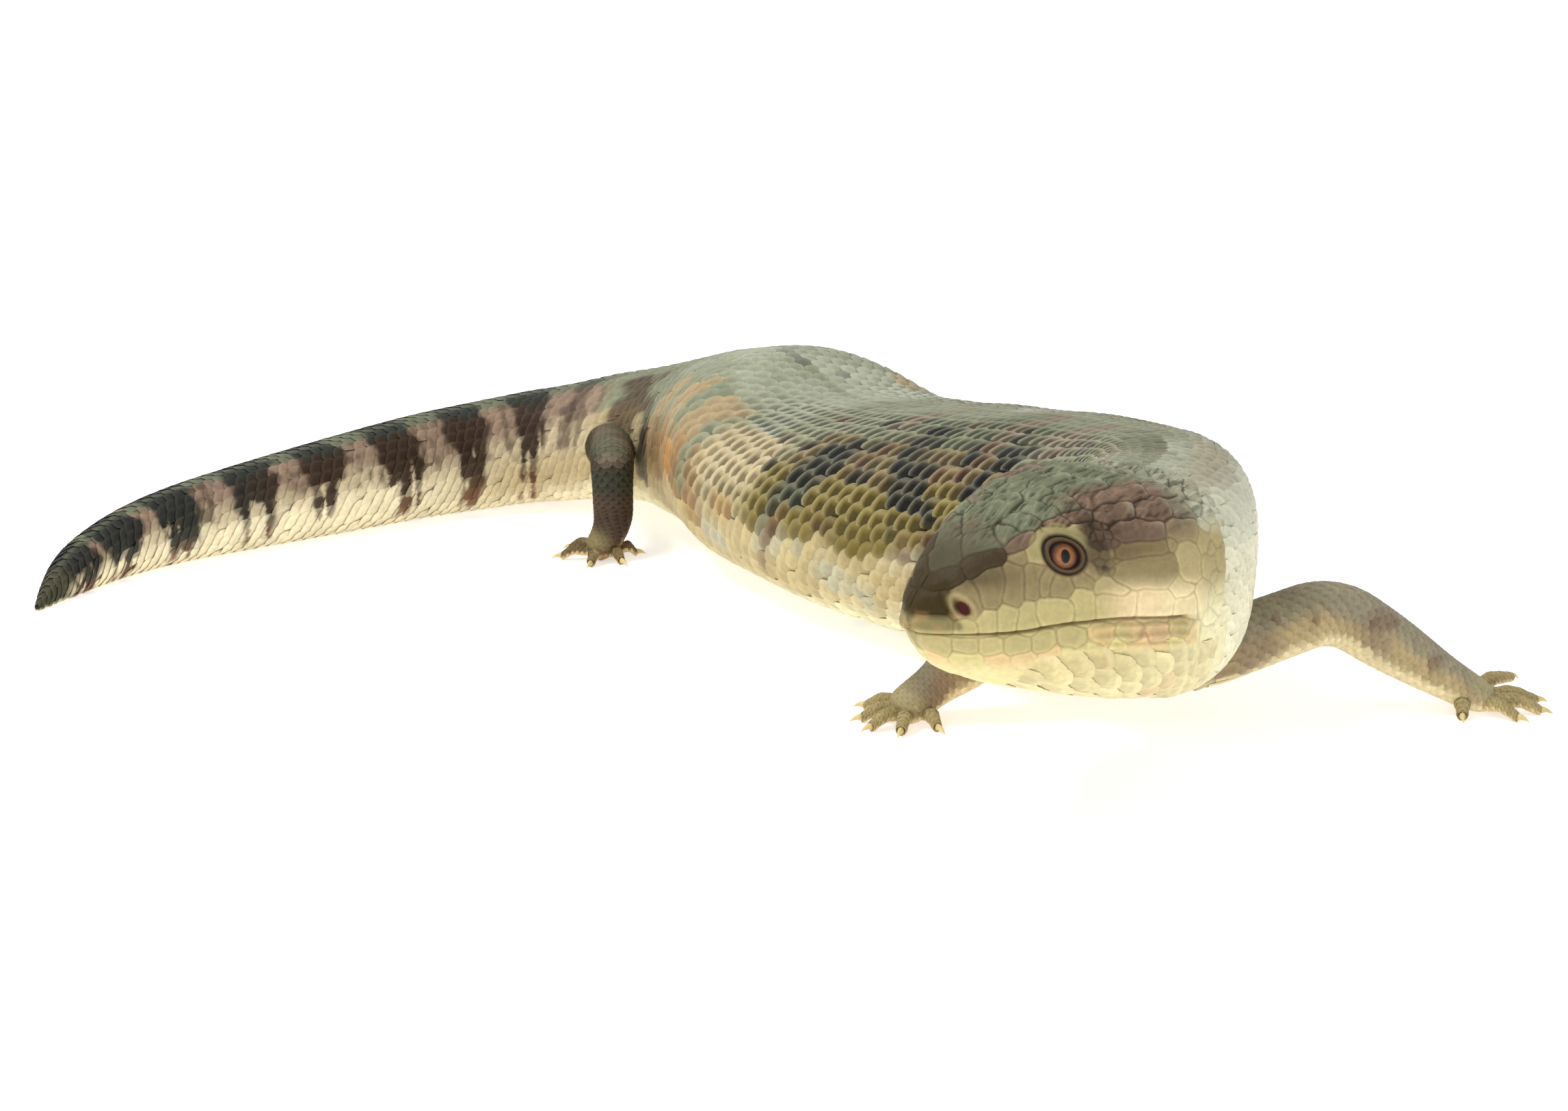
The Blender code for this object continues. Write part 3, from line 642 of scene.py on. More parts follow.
def faced(markings, limb, surface, q, u):
    """Points of a limb's or digit's surface, and the colours that its markings give them."""
    q, u = np.broadcast_arrays(q, u)
    points = surface.at(q, u)
    return points, markings(limb, points, surface.read(surface.normals, q, u), q / surface.places[-1])


# ---------------------------------------------------------------- meshes
def set_tint(mesh, tint):
    """Gives each point of a mesh the colour that its material reads."""
    tint = tint.reshape(-1, 3)
    layer = mesh.attributes.new("tint", "FLOAT_COLOR", "POINT")
    colours = np.concatenate([tint, np.ones((len(tint), 1))], axis=1)
    layer.data.foreach_set("color", colours.astype(np.float32).ravel())


def new_mesh(name, points, faces, tint, uv):
    """An object from points in millimetres, an array of quads or a list of faces, and each point's colour
    and place on the map."""
    mesh = bpy.data.meshes.new(name)
    points = np.ascontiguousarray(points.reshape(-1, 3) * MM, np.float32)
    sizes = np.array([len(face) for face in faces])
    corners = np.concatenate(faces).astype(np.int32)
    mesh.vertices.add(len(points))
    mesh.vertices.foreach_set("co", points.ravel())
    mesh.loops.add(len(corners))
    mesh.loops.foreach_set("vertex_index", corners)
    mesh.polygons.add(len(faces))
    mesh.polygons.foreach_set("loop_start", (np.cumsum(sizes) - sizes).astype(np.int32))
    mesh.polygons.foreach_set("use_smooth", np.ones(len(faces), bool))
    mesh.update(calc_edges=True)
    mesh.validate()
    set_tint(mesh, tint)
    layer = mesh.uv_layers.new(name="OFBake")
    loops = np.empty(len(mesh.loops), np.int32)
    mesh.loops.foreach_get("vertex_index", loops)
    layer.uv.foreach_set("vector", uv.reshape(-1, 2)[loops].astype(np.float32).ravel())
    return linked(name, mesh)


def scale_template(rows, columns):
    """Places over one scale: along (0 root, 1 free edge), across (-1..1) and under (1 on the turned rim),
    and its faces."""
    along, across = np.meshgrid(np.array(rows, float), np.linspace(-1, 1, columns), indexing="ij")
    n_rows, n = along.shape
    top = np.arange(n_rows * n).reshape(n_rows, n)
    faces = [(top[i, j], top[i, j + 1], top[i + 1, j + 1], top[i + 1, j])
             for i in range(n_rows - 1) for j in range(n - 1)]
    outline = [*top[:, 0], *top[-1, 1:-1], *top[::-1, -1]]
    rim = np.arange(len(outline)) + n_rows * n
    faces += [(outline[k], rim[k], rim[k + 1], outline[k + 1]) for k in range(len(outline) - 1)]
    along = np.concatenate([along.ravel(), along.ravel()[outline]])
    across = np.concatenate([across.ravel(), across.ravel()[outline]])
    under = np.concatenate([np.zeros(n_rows * n), np.ones(len(outline))])
    return along, across, under, np.array(faces)[:, ::-1]


SHOWN = 0.7   # the middle of a scale's visible part, as a share of its length
TEMPLATE = scale_template((0, 0.3, 0.52, 0.7, 0.84, 0.94, 1.0), 7)
SMALL = scale_template((0, 0.4, 0.7, 0.9, 1.0), 5)


def scale_shape(template, length, width, rise, root, dome):
    """Offsets of each template place for every scale: forward, sideways and up, in millimetres. rise is the
    height of its free edge, root the depth of its root, and dome how far its middle stands up."""
    along, across, under, _ = template
    length, width, rise, dome = (np.asarray(v, float).reshape(-1, 1) for v in (length, width, rise, dome))
    inward = 1 - 0.05 * under
    forward = length * along * (1 - 0.17 * np.abs(across) ** 4.0) * inward
    sideways = width / 2 * across * (1 - 0.08 * along ** 3) * inward
    rising = -root + (rise + root) * along ** 0.9
    arch = dome * (1 - across ** 2) * (0.35 + 0.65 * along) * step(along, 1.25, 0.7)
    height = rising + arch - 0.06 * step(along, 0.9, 1.0) - under * (0.16 + 0.3 * rise)
    return forward, sideways, height


def flank_slant(u):
    """How far a scale's rear edge runs forward for each millimetre towards the back."""
    g = down_side(u)
    slant = 0.6 * step(g, 0.04, 0.2) * step(g, 0.85, 0.5)
    return np.where((u % 1.0) < 0.5, slant, -slant)


def scale_piece(name, surface, q, u, length, width, rise, root, dome, colour_of, uv_of,
                template=TEMPLATE, slant=0.0, lean=0.0):
    """Every scale of one piece at once. q and u are the places of the roots."""
    forward, sideways, height = scale_shape(template, length, width, rise, root, dome)
    qs = q[:, None] + forward + np.reshape(slant, (-1, 1)) * sideways
    around = sideways + np.reshape(lean, (-1, 1)) * forward
    us = u[:, None] + around / surface.girth_at(np.clip(qs, surface.places[0], surface.places[-1] - 1))
    points = surface.at(qs, us, height)
    points[..., 2] = np.maximum(points[..., 2], 0.0)
    along, across, under, faces = template
    tint = colour_of(q + SHOWN * np.ravel(length), u, qs, us, along, across, under)
    count = len(along)
    if not surface.turned:
        faces = faces[:, ::-1]
    every = (faces[None] + (np.arange(len(q)) * count)[:, None, None]).reshape(-1, 4)
    patch = np.stack([(along - 0.5) * 0.003, across * 0.0015], -1)   # a scale's place on the map is small
    return new_mesh(name, points, every, tint, uv_of(q, u)[:, None, :] + patch[None])


def body_uv(q, u):
    """Place of the body's scales on the map."""
    return np.stack([0.02 + 0.96 * (q - 50) / (TAIL_TIP - 50), 0.02 + 0.96 * (u % 1.0)], -1)


# ---------------------------------------------------------------- materials
def map_range(tree, source, low, high, start=0.0, end=1.0):
    """Output of a node that turns start..end of its source into low..high."""
    node = tree.nodes.new("ShaderNodeMapRange")
    for socket, value in (("From Min", start), ("From Max", end), ("To Min", low), ("To Max", high)):
        node.inputs[socket].default_value = value
    tree.links.new(source, node.inputs["Value"])
    return node.outputs["Result"]


def noise_node(tree, where, scale, detail):
    """Output of a noise texture over places of the object."""
    node = tree.nodes.new("ShaderNodeTexNoise")
    node.inputs["Scale"].default_value = scale
    node.inputs["Detail"].default_value = detail
    tree.links.new(where, node.inputs["Vector"])
    return node.outputs["Fac"]


def tinted_material(name, scale, detail, *shades):
    """A material with the points' colours, lighter and darker by noise; also its tree, places and noise."""
    material = bpy.data.materials.new(name)
    material.use_nodes = True
    tree = material.node_tree
    tint = tree.nodes.new("ShaderNodeAttribute")
    tint.attribute_name = "tint"
    where = tree.nodes.new("ShaderNodeTexCoord").outputs["Object"]
    speckle = noise_node(tree, where, scale, detail)
    shade = tree.nodes.new("ShaderNodeVectorMath")
    shade.operation = "SCALE"
    tree.links.new(tint.outputs["Color"], shade.inputs[0])
    tree.links.new(map_range(tree, speckle, *shades), shade.inputs["Scale"])
    tree.links.new(shade.outputs["Vector"], tree.nodes["Principled BSDF"].inputs["Base Color"])
    return material, tree, where, speckle


GAIN = 0.86   # every finish but the eye's multiplies its colours by this


def coat_material(name, roughness, mottle, grain_scale, grain_strength, gloss=0.0):
    """Colour from the markings, mottled and roughened by noise, with a fine grain in its relief."""
    shades = GAIN * (1 - mottle), GAIN * (1 + mottle), 0.3, 0.7
    material, tree, where, speckle = tinted_material(name, 900, 4, *shades)
    shader = tree.nodes["Principled BSDF"]
    relief = tree.nodes.new("ShaderNodeBump")
    relief.inputs["Strength"].default_value = grain_strength
    relief.inputs["Distance"].default_value = 0.0002
    tree.links.new(noise_node(tree, where, grain_scale, 3), relief.inputs["Height"])
    tree.links.new(relief.outputs["Normal"], shader.inputs["Normal"])
    tree.links.new(map_range(tree, speckle, roughness - 0.1, roughness + 0.12), shader.inputs["Roughness"])
    shader.inputs["Coat Weight"].default_value = gloss
    shader.inputs["Coat Roughness"].default_value = 0.35
    shader.inputs["Specular IOR Level"].default_value = 0.14
    return material


scale_finish = coat_material("scale_finish", 0.5, 0.09, 1600, 0.25)
shield_finish = coat_material("shield_finish", 0.55, 0.08, 1300, 0.35)
skin_finish = coat_material("skin_finish", 0.62, 0.1, 1400, 0.4)
foot_finish = coat_material("foot_finish", 0.55, 0.1, 2200, 0.3)


def keep(obj, material, slot):
    """Gives a piece its finish and the root body; slot is not used."""
    obj.data.materials.append(material)
    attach(obj, "root")
    return obj


# ---------------------------------------------------------------- scales of the body
def scale_colours(markings, light_and_shade, share=0.6):
    """Each scale has its markings' colour, with painted shade on its lower side and under its turned rim,
    and a painted highlight, paler and greyer, on its free edge behind and on its upper side; light_and_shade
    gives how strong both are. share is how much of the colour is the same all over the scale."""
    def colours(q, u, qs, us, along, across, under):
        lot = rng.random(len(q))
        painted_light_strength = light_and_shade(q, u)[:, None, None]
        base = markings(q, u, lot)[:, None, :]
        field = markings(qs, us, np.broadcast_to(lot[:, None], qs.shape))
        colour = base * share + field * (1 - share)
        up = across[None, :] * np.where(u < 0.5, -1.0, 1.0)[:, None]
        # painted highlight: the free edge behind and the upper side of each scale, where light from above
        # catches it
        lit_upper_side = 0.9 * step(up, 0.25, 0.7) * step(along, 0.1, 0.4)[None, :]
        rim = np.maximum(step(along, 0.8, 0.92)[None, :], lit_upper_side)[..., None]
        # painted shade on the lower side of each scale
        painted_shade = (step(up, 0.5, 0.1) * window(along, 0.0, 0.72, 0.14)[None, :])[..., None]
        colour = colour * (1 - (0.08 + 0.72 * painted_light_strength) * painted_shade)
        # the painted highlight's paler, greyer colour
        pale = 0.44 * colour + 0.36 * rgb(178, 174, 146) + 0.2 * np.minimum(2.2 * colour, 0.6)
        colour = colour + (pale - colour) * rim * (0.06 + 0.9 * painted_light_strength)
        colour = colour * (0.92 + 0.16 * rng.random((len(q), 1, 1)))
        # painted shade under the turned rim
        return np.clip(colour * (1 - 0.3 * under)[None, :, None], 0, 1)
    return colours


def even_light_and_shade(amount):
    """The same strength of painted highlight and shade for every scale."""
    return lambda q, u: np.full(len(q), amount)


def flank_light_and_shade(q, u):
    """Strength of each scale's painted highlight and shade: most on the flank's scales before the middle
    of the belly, least on the tail's and belly's.
    """
    g = down_side(u)
    flank = window(g, 0.16, 0.43, 0.10) * window(q, 66, 196, 26) * np.where(u < 0.5, 1.0, step(q, 84, 124))
    back = 0.06 * step(g, 0.2, 0.05) * step(q, 60, 80) * step(q, 160, 130)
    return 0.05 + 0.07 * step(q, 60, 90) + 0.66 * flank + back - 0.09 * step(q, 262, 290)


FIRST_ROW = 52.4
COLUMNS = smooth_profile((   # place, scales round the body
    (50, 68), (70, 64), (96, 59), (130, 53), (165, 47), (210, 44), (236, 42), (262, 38), (284, 34),
    (315, 30), (360, 26), (400, 22), (430, 18), (452, 14), (463, 10), (471, 6)))
SPACING = smooth_profile((   # place, visible length of a scale
    (50, 1.8), (70, 2.2), (96, 2.8), (130, 3.5), (165, 4.0), (210, 4.2), (240, 3.8), (284, 3.4),
    (330, 3.3), (400, 3.0), (445, 2.5), (471, 1.8)))


def row_sweep(q, u):
    """How far back the rows of scales bend on their way down the flank."""
    return 16 * step(down_side(u), 0.08, 0.62) * step(q, 54, 130) * step(q, 291, 205)


def row_place(v, q):
    """Place round the body of a row of scales at share v, and its width beside an even row's. Rows run
    down the flank towards the head."""
    h = down_side(v)
    drift = 0.10 * (2 * step(q, 235, 100) - 1) * step(q, 60, 100) * step(q, 300, 235)
    g = h + drift * np.sin(math.pi * h)
    return np.where((v % 1.0) < 0.5, g / 2, 1 - g / 2), 1 + math.pi * drift * np.cos(math.pi * h)


def body_row(q, turn):
    """One row of the body's scales, half a scale before the next: place, share round the body, width,
    visible length, and how far the row leans round the body for each millimetre back."""
    count, spacing = int(round(COLUMNS(q)[0, 0] / 2)), SPACING(q)[0, 0]
    v = staggered(count, turn)
    place = q + row_sweep(q, v)
    (u, wider), (next_u, _) = row_place(v, place), row_place(v, place + 1)
    girth = body.girth_at(place)
    lean = (next_u - u) * girth
    return np.column_stack([place, u, girth / count * wider, np.full(count, spacing), lean]), spacing / 2


def inside_limb(points, depth):
    """Whether points lie deeper than depth under the surface of any limb."""
    hidden = np.zeros(len(points), bool)
    for limb in limbs.values():
        tube = limb["tube"]
        axis = tube.points[:, :-1].mean(axis=1)
        radius = np.linalg.norm(tube.points[:, :-1] - axis[:, None], axis=2).min(axis=1)
        gap = np.linalg.norm(points[:, None] - axis[None, ::4], axis=2) - radius[None, ::4]
        hidden |= gap.min(axis=1) < -depth
    return hidden


roots = rows_of_roots(FIRST_ROW, TAIL_TIP - 2.0, body_row)
roots[:, 0] += rng.normal(0, 0.1, len(roots))   # no row is quite even
roots[:, 1] += rng.normal(0, 0.012, len(roots)) * roots[:, 2] / body.girth_at(roots[:, 0]) * 3
roots = roots[~inside_limb(body.at(roots[:, 0] + 2.5, roots[:, 1]), 2.2)]
PIECES = (("scales_neck", 50, 112), ("scales_shoulder", 112, 160), ("scales_belly", 160, 208),
          ("scales_flank", 208, 262), ("scales_tail_base", 262, 330), ("scales_tail", 330, 480))
for name, low, high in PIECES:
    part = roots[(roots[:, 0] >= low) & (roots[:, 0] < high)]
    q, u, size, spacing, lean = part.T
    g = down_side(u)
    flank = window(g, 0.16, 0.46, 0.12) * window(q, 76, 200, 30)
    rise = 0.14 + 0.36 * flank + 0.05 * rng.random(len(q))
    rise = rise * (0.35 + 0.65 * step(g, 0.98, 0.7)) * (0.2 + 0.8 * step(q, 60, 96)) + 0.05
    dome = 0.10 + 0.12 * step(q, 60, 100) + 0.2 * flank
    length, width = spacing * (1.75 + 0.25 * step(q, 80, 60)), size * (0.66 - 0.03 * flank)
    on_tail = low > 255
    piece = scale_piece(name, body, q, u, length, width, rise, 0.45, dome,
                        scale_colours(body_markings, flank_light_and_shade, 0.3 if on_tail else 0.6),
                        body_uv, slant=flank_slant(u), lean=lean)
    keep(piece, scale_finish, "tail_skin" if on_tail else "back_skin")

PLATE_WIDTH, PLATE_SPACING = 7.0, 3.0


def throat_row(q, turn):
    """One row of the smooth plates under the jaw and throat: place, share round the body, width."""
    girth = body.girth_at(q)
    count = int(round(girth / PLATE_WIDTH))
    u = staggered(count, turn)
    low = in_head(body.at(q + 2.0, u))[:, 2] < mouth_height(q)[0, 0] - 5.9
    u = u[low & (u > 0.15) & (u < 0.85)]
    return np.column_stack([np.full(len(u), q), u, np.full(len(u), girth / count)]), PLATE_SPACING / 2


def throat_markings(q, u, lot):
    """Colour of the throat's plates; lot is a number for each plate, over 0."""
    p = in_head(body.at(q, u))
    return painted(
        rgb(242, 228, 174),
        (rgb(240, 206, 158), 0.6 * step(noise(p, 6, 81), 0.0, 0.5) * single(lot, 6, 0.7)),
        (rgb(222, 204, 144), 0.7 * step(p[..., 2], -13, -6) * step(p[..., 0], 46, 30)),
    )


def throat_uv(q, u):
    """Place of the throat's plates on the map."""
    return np.stack([0.02 + 0.96 * q / 60, 0.02 + 0.96 * u], -1)


q, u, size = rows_of_roots(14.5, 51, throat_row).T
plates = scale_piece("throat_plates", body, q, u, np.full(len(q), PLATE_SPACING * 1.95), size * 0.66,
                     np.full(len(q), 0.10), 0.3, 0.12, scale_colours(throat_markings, even_light_and_shade(0.16)),
                     throat_uv, slant=np.where(u < 0.5, 0.3, -0.3))
keep(plates, scale_finish, "throat_skin")

# ---------------------------------------------------------------- head shields
# Each shield is a short line on the left of the head with a radius; the right side mirrors it.
# Each end is x back from the snout, distance from the middle and height over the mouth.
KHAKI, KHAKI_PALE, LIP = rgb(150, 134, 94), rgb(176, 160, 114), rgb(192, 177, 124)
HEAD_SAGE, HEAD_MAUVE, SNOUT_BROWN = rgb(110, 114, 88), rgb(116, 94, 76), rgb(66, 54, 34)
SNOUT_OLIVE, BROW, LID, CHIN = rgb(56, 44, 14), rgb(152, 142, 98), rgb(54, 40, 30), rgb(226, 212, 152)
SHIELDS = (   # front end, rear end, radius, colour
    ((3.2, 2.6, 9.4), (5.0, 3.6, 10.8), 0.6, SNOUT_BROWN),
    ((7.8, 0, 13.8), (8.6, 0, 14.2), 2.2, HEAD_SAGE),
    ((11.0, 3.6, 15.6), (12.8, 5.2, 15.9), 1.6, HEAD_SAGE),
    ((9.4, 6.4, 13.4), (11.6, 7.6, 14.0), 0.8, SNOUT_BROWN),
    ((15.6, 0, 18.6), (21.5, 0, 20.6), 2.2, HEAD_SAGE),
    ((14.6, 7.0, 16.8), (15.8, 7.4, 17.3), 0.9, HEAD_SAGE),
    ((18.2, 7.0, 18.4), (19.4, 8.6, 18.6), 1.1, HEAD_SAGE),
    ((22.0, 7.0, 20.1), (23.2, 9.0, 20.0), 1.2, HEAD_SAGE),
    ((26.2, 7.6, 21.2), (27.0, 9.8, 20.9), 1.1, HEAD_SAGE),
    ((15.4, 9.8, 15.6), (17.6, 10.4, 16.9), 0.5, HEAD_MAUVE),
    ((25.4, 2.6, 21.9), (26.6, 3.2, 22.0), 1.6, HEAD_SAGE),
    ((30.6, 0, 22.9), (33.4, 0, 23.2), 1.9, HEAD_SAGE),
    ((30.4, 5.2, 22.8), (35.2, 7.4, 22.9), 1.7, HEAD_SAGE),
    ((31.0, 11.4, 21.6), (33.6, 12.0, 21.8), 1.0, HEAD_MAUVE),
    ((37.6, 12.6, 21.8), (40.2, 13.2, 21.7), 1.0, HEAD_MAUVE),
    ((39.2, 3.0, 23.3), (40.4, 3.4, 23.3), 1.7, HEAD_SAGE),
    ((40.6, 8.6, 22.9), (42.2, 9.0, 22.9), 1.2, HEAD_SAGE),
    ((46.0, 2.6, 22.8), (47.0, 2.6, 22.6), 1.4, HEAD_SAGE),
    ((46.4, 7.8, 22.3), (47.6, 8.0, 22.1), 1.2, HEAD_SAGE),
    ((45.0, 12.9, 21.2), (46.8, 13.2, 20.9), 1.0, HEAD_MAUVE),
    ((31.4, 15.6, 19.6), (34.6, 16.0, 19.6), 0.8, HEAD_MAUVE),
    ((38.6, 17.0, 19.2), (42.0, 17.4, 19.0), 0.9, HEAD_MAUVE),
    ((46.2, 17.4, 18.6), (48.6, 17.4, 18.0), 0.8, HEAD_MAUVE),
    # beside the nostril, the lores, and over and behind the eye
    ((4.8, 6.6, 6.4), (6.6, 8.0, 6.2), 1.2, KHAKI),
    ((9.4, 9.6, 7.0), (10.4, 9.9, 10.6), 0.9, KHAKI),
    ((12.9, 11.6, 7.4), (13.5, 11.6, 11.4), 0.8, KHAKI),
    ((15.7, 12.9, 8.0), (16.0, 12.8, 11.2), 0.5, KHAKI),
    ((17.9, 14.2, 8.6), (18.1, 14.1, 9.6), 0.4, KHAKI),
    ((14.9, 11.4, 13.8), (15.4, 11.4, 14.2), 0.2, KHAKI),
    ((17.4, 12.0, 14.6), (20.1, 12.2, 16.6), 0.7, KHAKI_PALE),
    ((21.6, 12.6, 17.3), (26.6, 14.6, 17.6), 0.8, KHAKI_PALE),
    ((22.4, 11.8, 18.9), (23.6, 12.0, 19.2), 0.6, HEAD_MAUVE),
    ((26.0, 12.6, 19.4), (27.6, 13.2, 19.5), 0.6, HEAD_MAUVE),
    ((26.4, 17.2, 10.4), (26.8, 17.3, 10.0), 0.0, KHAKI),
    ((20.0, 15.2, 8.2), (21.6, 15.8, 8.0), 0.5, KHAKI),
    ((23.6, 16.5, 8.8), (25.0, 17.0, 8.6), 0.3, KHAKI),
    # temples
    ((33.0, 18.0, 17.0), (38.6, 19.4, 16.2), 1.0, HEAD_MAUVE),
    ((43.4, 20.2, 15.6), (47.2, 20.3, 15.0), 1.2, rgb(150, 132, 98)),
    ((41.7, 21.0, 13.8), (42.0, 21.0, 13.6), 0.1, KHAKI),
    ((31.4, 19.0, 13.2), (39.2, 20.8, 13.3), 0.5, rgb(136, 118, 82)),
    ((32.4, 19.6, 9.7), (39.2, 21.2, 9.6), 1.7, KHAKI),
    ((45.0, 21.8, 11.6), (45.4, 21.8, 8.6), 1.4, KHAKI_PALE),
    ((27.6, 18.2, 8.2), (31.6, 19.2, 6.9), 0.3, KHAKI_PALE),
    ((42.0, 21.9, 6.2), (44.4, 22.0, 5.0), 0.5, KHAKI_PALE),
    ((50.0, 21.4, 13.6), (50.4, 21.4, 12.8), 0.6, KHAKI_PALE),
    ((50.6, 22.0, 8.8), (50.8, 22.0, 7.6), 0.6, LIP),
    ((49.0, 22.0, 3.6), (49.6, 22.0, 2.6), 0.6, LIP),
    # upper lip
    ((0.4, 0, 3.0), (2.2, 4.4, 2.8), 1.1, rgb(158, 144, 96)),
    ((1.2, 2.0, 6.2), (2.2, 4.4, 6.6), 1.2, SNOUT_OLIVE),
    ((5.6, 7.8, 2.4), (5.9, 8.0, 2.0), 0.5, LIP),
    ((8.5, 9.9, 2.4), (8.8, 10.0, 4.2), 0.6, LIP),
    ((11.6, 11.5, 2.4), (11.8, 11.6, 4.4), 0.6, LIP),
    ((14.8, 13.1, 2.6), (15.0, 13.2, 4.8), 0.6, LIP),
    ((17.8, 14.6, 4.6), (21.6, 16.0, 4.4), 0.8, LIP),
    ((24.4, 16.9, 4.4), (24.0, 16.7, 6.4), 0.9, LIP),
    ((28.6, 18.3, 4.2), (32.4, 19.4, 4.0), 1.0, LIP),
    ((36.4, 20.6, 3.8), (39.4, 21.6, 3.6), 1.0, LIP),
    ((43.4, 22.0, 2.2), (45.6, 22.0, 1.8), 0.5, LIP),
    # lower lip and the first chin shields
    ((0.8, 0, -1.2), (2.2, 4.0, -1.0), 0.9, LIP),
    ((5.8, 7.6, -1.4), (6.2, 7.8, -1.6), 0.6, LIP),
    ((9.3, 9.9, -1.6), (9.8, 10.2, -1.8), 0.7, LIP),
    ((13.0, 12.0, -1.8), (13.8, 12.3, -2.0), 0.8, LIP),
    ((17.4, 14.1, -1.8), (18.4, 14.5, -2.2), 0.9, LIP),
    ((22.4, 16.2, -1.6), (23.4, 16.5, -2.4), 1.0, LIP),
    ((27.6, 18.0, -1.4), (28.8, 18.4, -2.4), 0.8, rgb(204, 180, 126)),
    ((32.6, 19.6, -2.0), (34.0, 20.0, -2.8), 0.7, LIP),
    ((37.6, 21.2, -2.4), (39.0, 21.6, -3.0), 0.7, rgb(206, 180, 134)),
    ((42.6, 21.9, -2.2), (43.8, 22.0, -2.8), 0.6, LIP),
    ((5.0, 0, -6.2), (8.0, 0, -7.4), 1.5, CHIN),
    ((11.0, 3.2, -9.2), (14.6, 3.6, -10.6), 1.7, CHIN),
    ((10.4, 7.4, -6.8), (14.4, 9.2, -7.6), 1.2, CHIN),
    ((17.6, 9.6, -8.8), (19.6, 10.2, -9.4), 1.2, CHIN),
)


def nearest_at(x, z, sign):
    """The place on one side of the head at a distance from the snout and a height."""
    us = np.linspace(0.02, 0.48, 200)
    ring = in_head(body.at(min(x, 56.0), us if sign > 0 else 1 - us))
    return ring[np.argmin(np.abs(ring[:, 2] - z))]


def all_shields():
    """Ends, radii and colours of the shields on both sides, with rows of scales on jaw and throat."""
    shields = []
    for (x, y, z), (rear_x, rear_y, rear_z), radius, colour in SHIELDS:
        for sign in (-1, 1) if y or rear_y else (-1,):
            shields.append(((x, sign * y, z), (rear_x, sign * rear_y, rear_z), radius, colour))
    for row, q in enumerate(np.arange(3.0, 52, 3.9)):
        for sign in (-1, 1):
            place = nearest_at(q, mouth_height(q)[0, 0] - 5.2, sign)
            colour = blend(rgb(216, 202, 140), rgb(226, 186, 138), 0.6 * (hashed(row, sign + 2) > 0.6))
            shields.append((place, place + (1.4, 0, 0), 0.9, colour))
    for sign in (-1, 1):   # granules behind the eye
        for row in range(6):
            for column in range(3):
                place = nearest_at(27.4 + 1.35 * column + 0.6 * (row % 2), 10.4 + 1.5 * row, sign)
                shields.append((place, place, -0.3, HEAD_MAUVE if row > 2 else KHAKI))
    # the side and nape behind the head
    for row, q in enumerate(np.arange(51.0, 57.1, 1.75)):
        for u in staggered(34, row):
            if abs(u - 0.5) > 0.2:
                place = in_head(body.at(q, u))
                colour = body_markings(np.array([q]), np.array([u]))[0]
                shields.append((place, place + (0.3, 0, 0), -0.4, colour))
    return [np.array(column) for column in zip(*shields)]


def snap(points, cloud):
    """The nearest points of a cloud."""
    return cloud[[np.argmin(np.sum((cloud - p) ** 2, axis=1)) for p in points]]


def near_line(points, start, end):
    """Distance of every point to every line, in the head's frame."""
    out = np.empty((len(points), len(start)), np.float32)
    for k, (a, b) in enumerate(zip(start, end)):
        ab = b - a
        t = np.clip((points - a) @ ab / max(ab @ ab, 1e-9), 0, 1)
        out[:, k] = np.linalg.norm(points - a - t[:, None] * ab, axis=1)
    return out


EYE_OPENING, OPENING_RADIUS = (22.1, 14.8, 13.6), 2.45


def eye_distance(p):
    """1 on the edge of the eye's opening, and signed height over its middle, for both eyes."""
    dx = p[:, 0] - EYE_OPENING[0]
    outward = np.abs(p[:, 1]) - EYE_OPENING[1]
    dz = (p[:, 2] - EYE_OPENING[2]) * 1.08
    turned_x, turned_z = dx + 0.18 * dz, dz - 0.10 * dx
    near = np.sqrt((turned_x / OPENING_RADIUS) ** 2 + (turned_z / OPENING_RADIUS) ** 2
                   + np.maximum(-outward - 3.2, 0) ** 2)
    return near, turned_z


